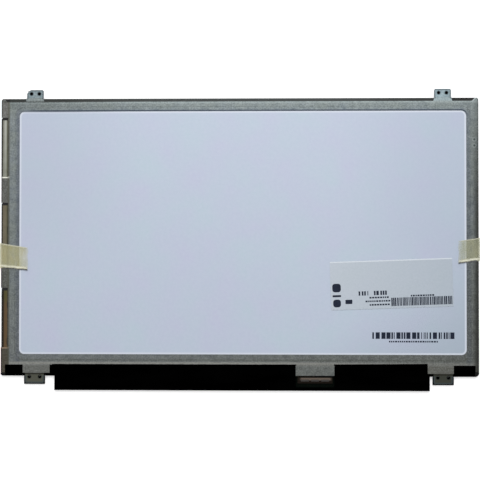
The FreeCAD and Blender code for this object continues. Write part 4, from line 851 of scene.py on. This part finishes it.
def printed_row(name, place, across, along, widths, level):
    """One row of printed bars: a grid whose columns are as wide as bars and gaps, with the gaps deleted."""
    columns = len(widths)
    piece = grid_piece(name, columns, 1)
    stops = [along[0]]
    for width in widths:
        stops.append(stops[-1] + width)
    for vertex in piece.data.vertices:
        column = round((vertex.co.x + 0.5) * columns)
        spot = place((stops[column], across[0] if vertex.co.y < 0 else across[1]))
        vertex.co = Vector((*spot, level)) * MM
    delete_faces(piece, lambda face: face.index % 2 == 1)
    finish_piece(piece, PRINT_LIFT, INK)


def bar_widths(length, module, bars, gaps, seed):
    """Widths of bars and gaps in turn, in whole modules, until a length is full."""
    draw = random.Random(seed)
    widths = []
    while sum(widths) < length:
        widths += [module * draw.choice(bars), module * draw.choice(gaps)]
    return widths[:-1]


def build_print():
    """Plain bar rows, dashed lines and patches on the label and the reflector, which say nothing."""
    ink_level = LABEL_HIGH.z + 0.03
    sheet_level = SHEET_REAR + 0.01
    patch_rim = 0.4
    rows = [
        ("label_bars", (-0.7, 44.2), (-16.4, -10.2), 0.34, (2, 2, 3), (1, 1, 2), 5),
        ("label_bar_caption", (14.0, 31.0), (-9.7, -8.5), 0.5, (2, 3), (1,), 6),
        ("label_line_1", (-25.0, -18.0), (-7.8, -4.6), 0.6, (1, 2, 2), (1, 1, 2), 11),
        ("label_line_2", (-13.5, -2.8), (-7.8, -4.6), 0.6, (2, 2, 3), (1, 1, 2), 15),
        ("label_line_3", (-17.0, -2.6), (-10.2, -9.0), 0.5, (2, 3), (1,), 12),
        ("label_line_4", (-20.0, -2.6), (-12.9, -11.7), 0.5, (2, 3), (1,), 13),
        ("label_line_5", (-17.0, -2.6), (-15.6, -14.4), 0.5, (2, 3), (1,), 14),
    ]
    for name, along, across, module, bars, gaps, seed in rows:
        widths = bar_widths(along[1] - along[0], module, bars, gaps, seed)
        printed_row(name, turned, across, along, widths, ink_level)
    patches = [
        ("label_patch_1", (-41.4, -1.5), (6.4, 6.4), 2.0),
        ("label_patch_2", (-41.4, -7.6), (6.4, 1.5), 0.5),
        ("label_patch_3", (-41.4, -13.1), (5.8, 5.8), 2.0),
        ("label_patch_4", (-32.5, -12.2), (5.2, 3.2), 0.5),
    ]
    for name, centre, size, radius in patches:
        piece = plate_piece(name, turned(centre), size, LABEL_TURN, ink_level, radius)
        bpy.ops.mesh.inset(thickness=patch_rim * MM, depth=0)
        bpy.ops.object.mode_set(mode="OBJECT")
        finish_piece(piece, PRINT_LIFT, INK, crease=1)
    for name, along, across, module, bars, gaps, seed in (
        ("sheet_bars", (100.2, 160.9), (-78.05, -73.15), 0.62, (1, 2, 3, 5), (1, 2), 21),
        ("sheet_bar_caption", (112.7, 148.8), (-80.7, -79.5), 0.5, (2, 3), (1,), 22),
    ):
        widths = bar_widths(along[1] - along[0], module, bars, gaps, seed)
        printed_row(name, Vector, across, along, widths, sheet_level)


def build_ear_shades():
    """Black sheets under the ears that stand in for shade: painted shade that darkens their holes, within the
    outline of the upper ears, and shows as a dark rim just proud of the lower ones."""
    thickness = 0.06
    clear = 0.02
    proud = 0.85
    inset = 0.7
    corner, rim = 0.6, 0.3
    level = EAR_FRONT - thickness - clear
    upper = (MOULD_HIGH.y + 0.3, FRAME_HIGH.y - inset)
    lower = (FRAME_LOW.y - proud, MOULD_LOW.y - clear)
    # Black sheets of painted shade under the ears
    for side, middle in (("left", EAR_LEFT), ("right", EAR_RIGHT)):
        for name, (low, high), half in (
            ("upper", upper, UPPER_HALF - inset),
            ("lower", lower, LOWER_HALF + proud),
        ):
            centre = (middle, (low + high) / 2)
            piece = plate_piece(f"{name}_ear_shade_{side}", centre, (half * 2, high - low), 0, level, corner)
            bpy.ops.mesh.inset(thickness=rim * MM, depth=0)
            bpy.ops.object.mode_set(mode="OBJECT")
            finish_piece(piece, thickness, FINISHES["black_film"], crease=1)


def build_film_laps():
    """The wrapped board's film where it laps over the lower edge of the frame, on each side of the frame's
    tab and wider towards the right."""
    columns, rows = 80, 6
    thickness = 0.05
    clear = 0.02
    droop = 0.3
    shoulder = 35.6
    tab_side = 0.9
    narrowest, widening, waver = 0.5, 1.2, 0.15
    for name, start, stop in (
        ("film_lap_left", WRAP_LOW.x + shoulder, SHELL_LOW.x - tab_side),
        ("film_lap_right", SHELL_HIGH.x + tab_side, WRAP_HIGH.x - shoulder),
    ):
        piece = grid_piece(name, columns, rows)
        for vertex in piece.data.vertices:
            across = vertex.co.y + 0.5
            x = start + (stop - start) * (vertex.co.x + 0.5)
            lap = narrowest + widening * max(x / WRAP_HIGH.x, 0) ** 2
            lap += waver * noise.noise(Vector((x / 6, 0, 2)))
            y = FLANGE_BOTTOM - droop + (lap + droop) * across
            below = max(FLANGE_BOTTOM - y, 0)
            vertex.co = Vector((x, y, FLANGE_REAR + clear - below)) * MM
        finish_piece(piece, thickness, FINISHES["black_film"])


build_tapes()
build_gate_films()
build_label()
build_print()
build_film_laps()
build_ear_shades()


def seen_directly(tree):
    """1 for rays from the eye, and for those that a shiny or clear surface passes on."""
    path = add_node(tree, "ShaderNodeLightPath")
    eye, gloss = path.outputs["Is Camera Ray"], path.outputs["Is Glossy Ray"]
    shiny = add_node(tree, "ShaderNodeMath", {0: eye, 1: gloss}, operation="MAXIMUM")
    clear = add_node(tree, "ShaderNodeMath", {0: shiny.outputs[0], 1: path.outputs["Is Transmission Ray"]},
                     operation="MAXIMUM")
    return clear.outputs[0]


def white_surround():
    """An even white world: full white to the eye and in reflections, weaker as a light."""
    ambient = 0.53
    world = bpy.data.worlds.new("white_surround")
    bpy.context.scene.world = world
    world.use_nodes = True
    tree = world.node_tree
    strength = add_node(tree, "ShaderNodeMapRange", {0: seen_directly(tree), 3: ambient, 4: 1.0})
    background = tree.nodes["Background"]
    background.inputs["Color"].default_value = linear("#ffffff")
    tree.links.new(strength.outputs[0], background.inputs["Strength"])


def pale_floor():
    """A plain pale table under the panel, bright enough to the eye to be white, that keeps the shadow."""
    span = 8
    gap = 0.1
    glow_strength = 0.45
    bpy.ops.object.select_all(action="DESELECT")
    bpy.ops.mesh.primitive_plane_add(size=span, location=(0, 0, -gap * MM))
    floor = bpy.context.object
    floor.name = "table"
    material, tree, shader = new_material("pale_table", Roughness=0.9, Specular_IOR_Level=0.0)
    shader.inputs["Base Color"].default_value = linear("#f2f2f2")
    shader.inputs["Emission Color"].default_value = linear("#ffffff")
    glow = add_node(tree, "ShaderNodeMath", {0: seen_directly(tree), 1: glow_strength}, operation="MULTIPLY")
    tree.links.new(glow.outputs[0], shader.inputs["Emission Strength"])
    floor.data.materials.append(material)


def soft_box(name, place, target, size, power, code):
    """A square studio lamp that faces a point."""
    bpy.ops.object.light_add(type="AREA", location=place)
    lamp = bpy.context.object
    lamp.name = name
    lamp.rotation_euler = (Vector(target) - Vector(place)).to_track_quat("-Z", "Y").to_euler()
    lamp.data.size = size
    lamp.data.energy = power
    lamp.data.color = linear(code)[:3]


def photo_camera():
    """A long lens almost straight above the panel, a little to the right of and below its middle."""
    place = (0.0218, -0.0180, 0.8565)
    turn = [math.radians(angle) for angle in (0.948, 1.407, 0.03)]
    bpy.ops.object.camera_add(location=place, rotation=turn)
    camera = bpy.context.object
    camera.data.lens = 85
    camera.data.sensor_width = 36
    bpy.context.scene.camera = camera


white_surround()
pale_floor()
soft_box(
    "upper_soft_box", place=(0.03, 0.56, 0.8), target=(0.0, 0.02, 0.0), size=0.8, power=6.2, code="#ffffff"
)
photo_camera()
bpy.context.scene.view_settings.view_transform = "Standard"
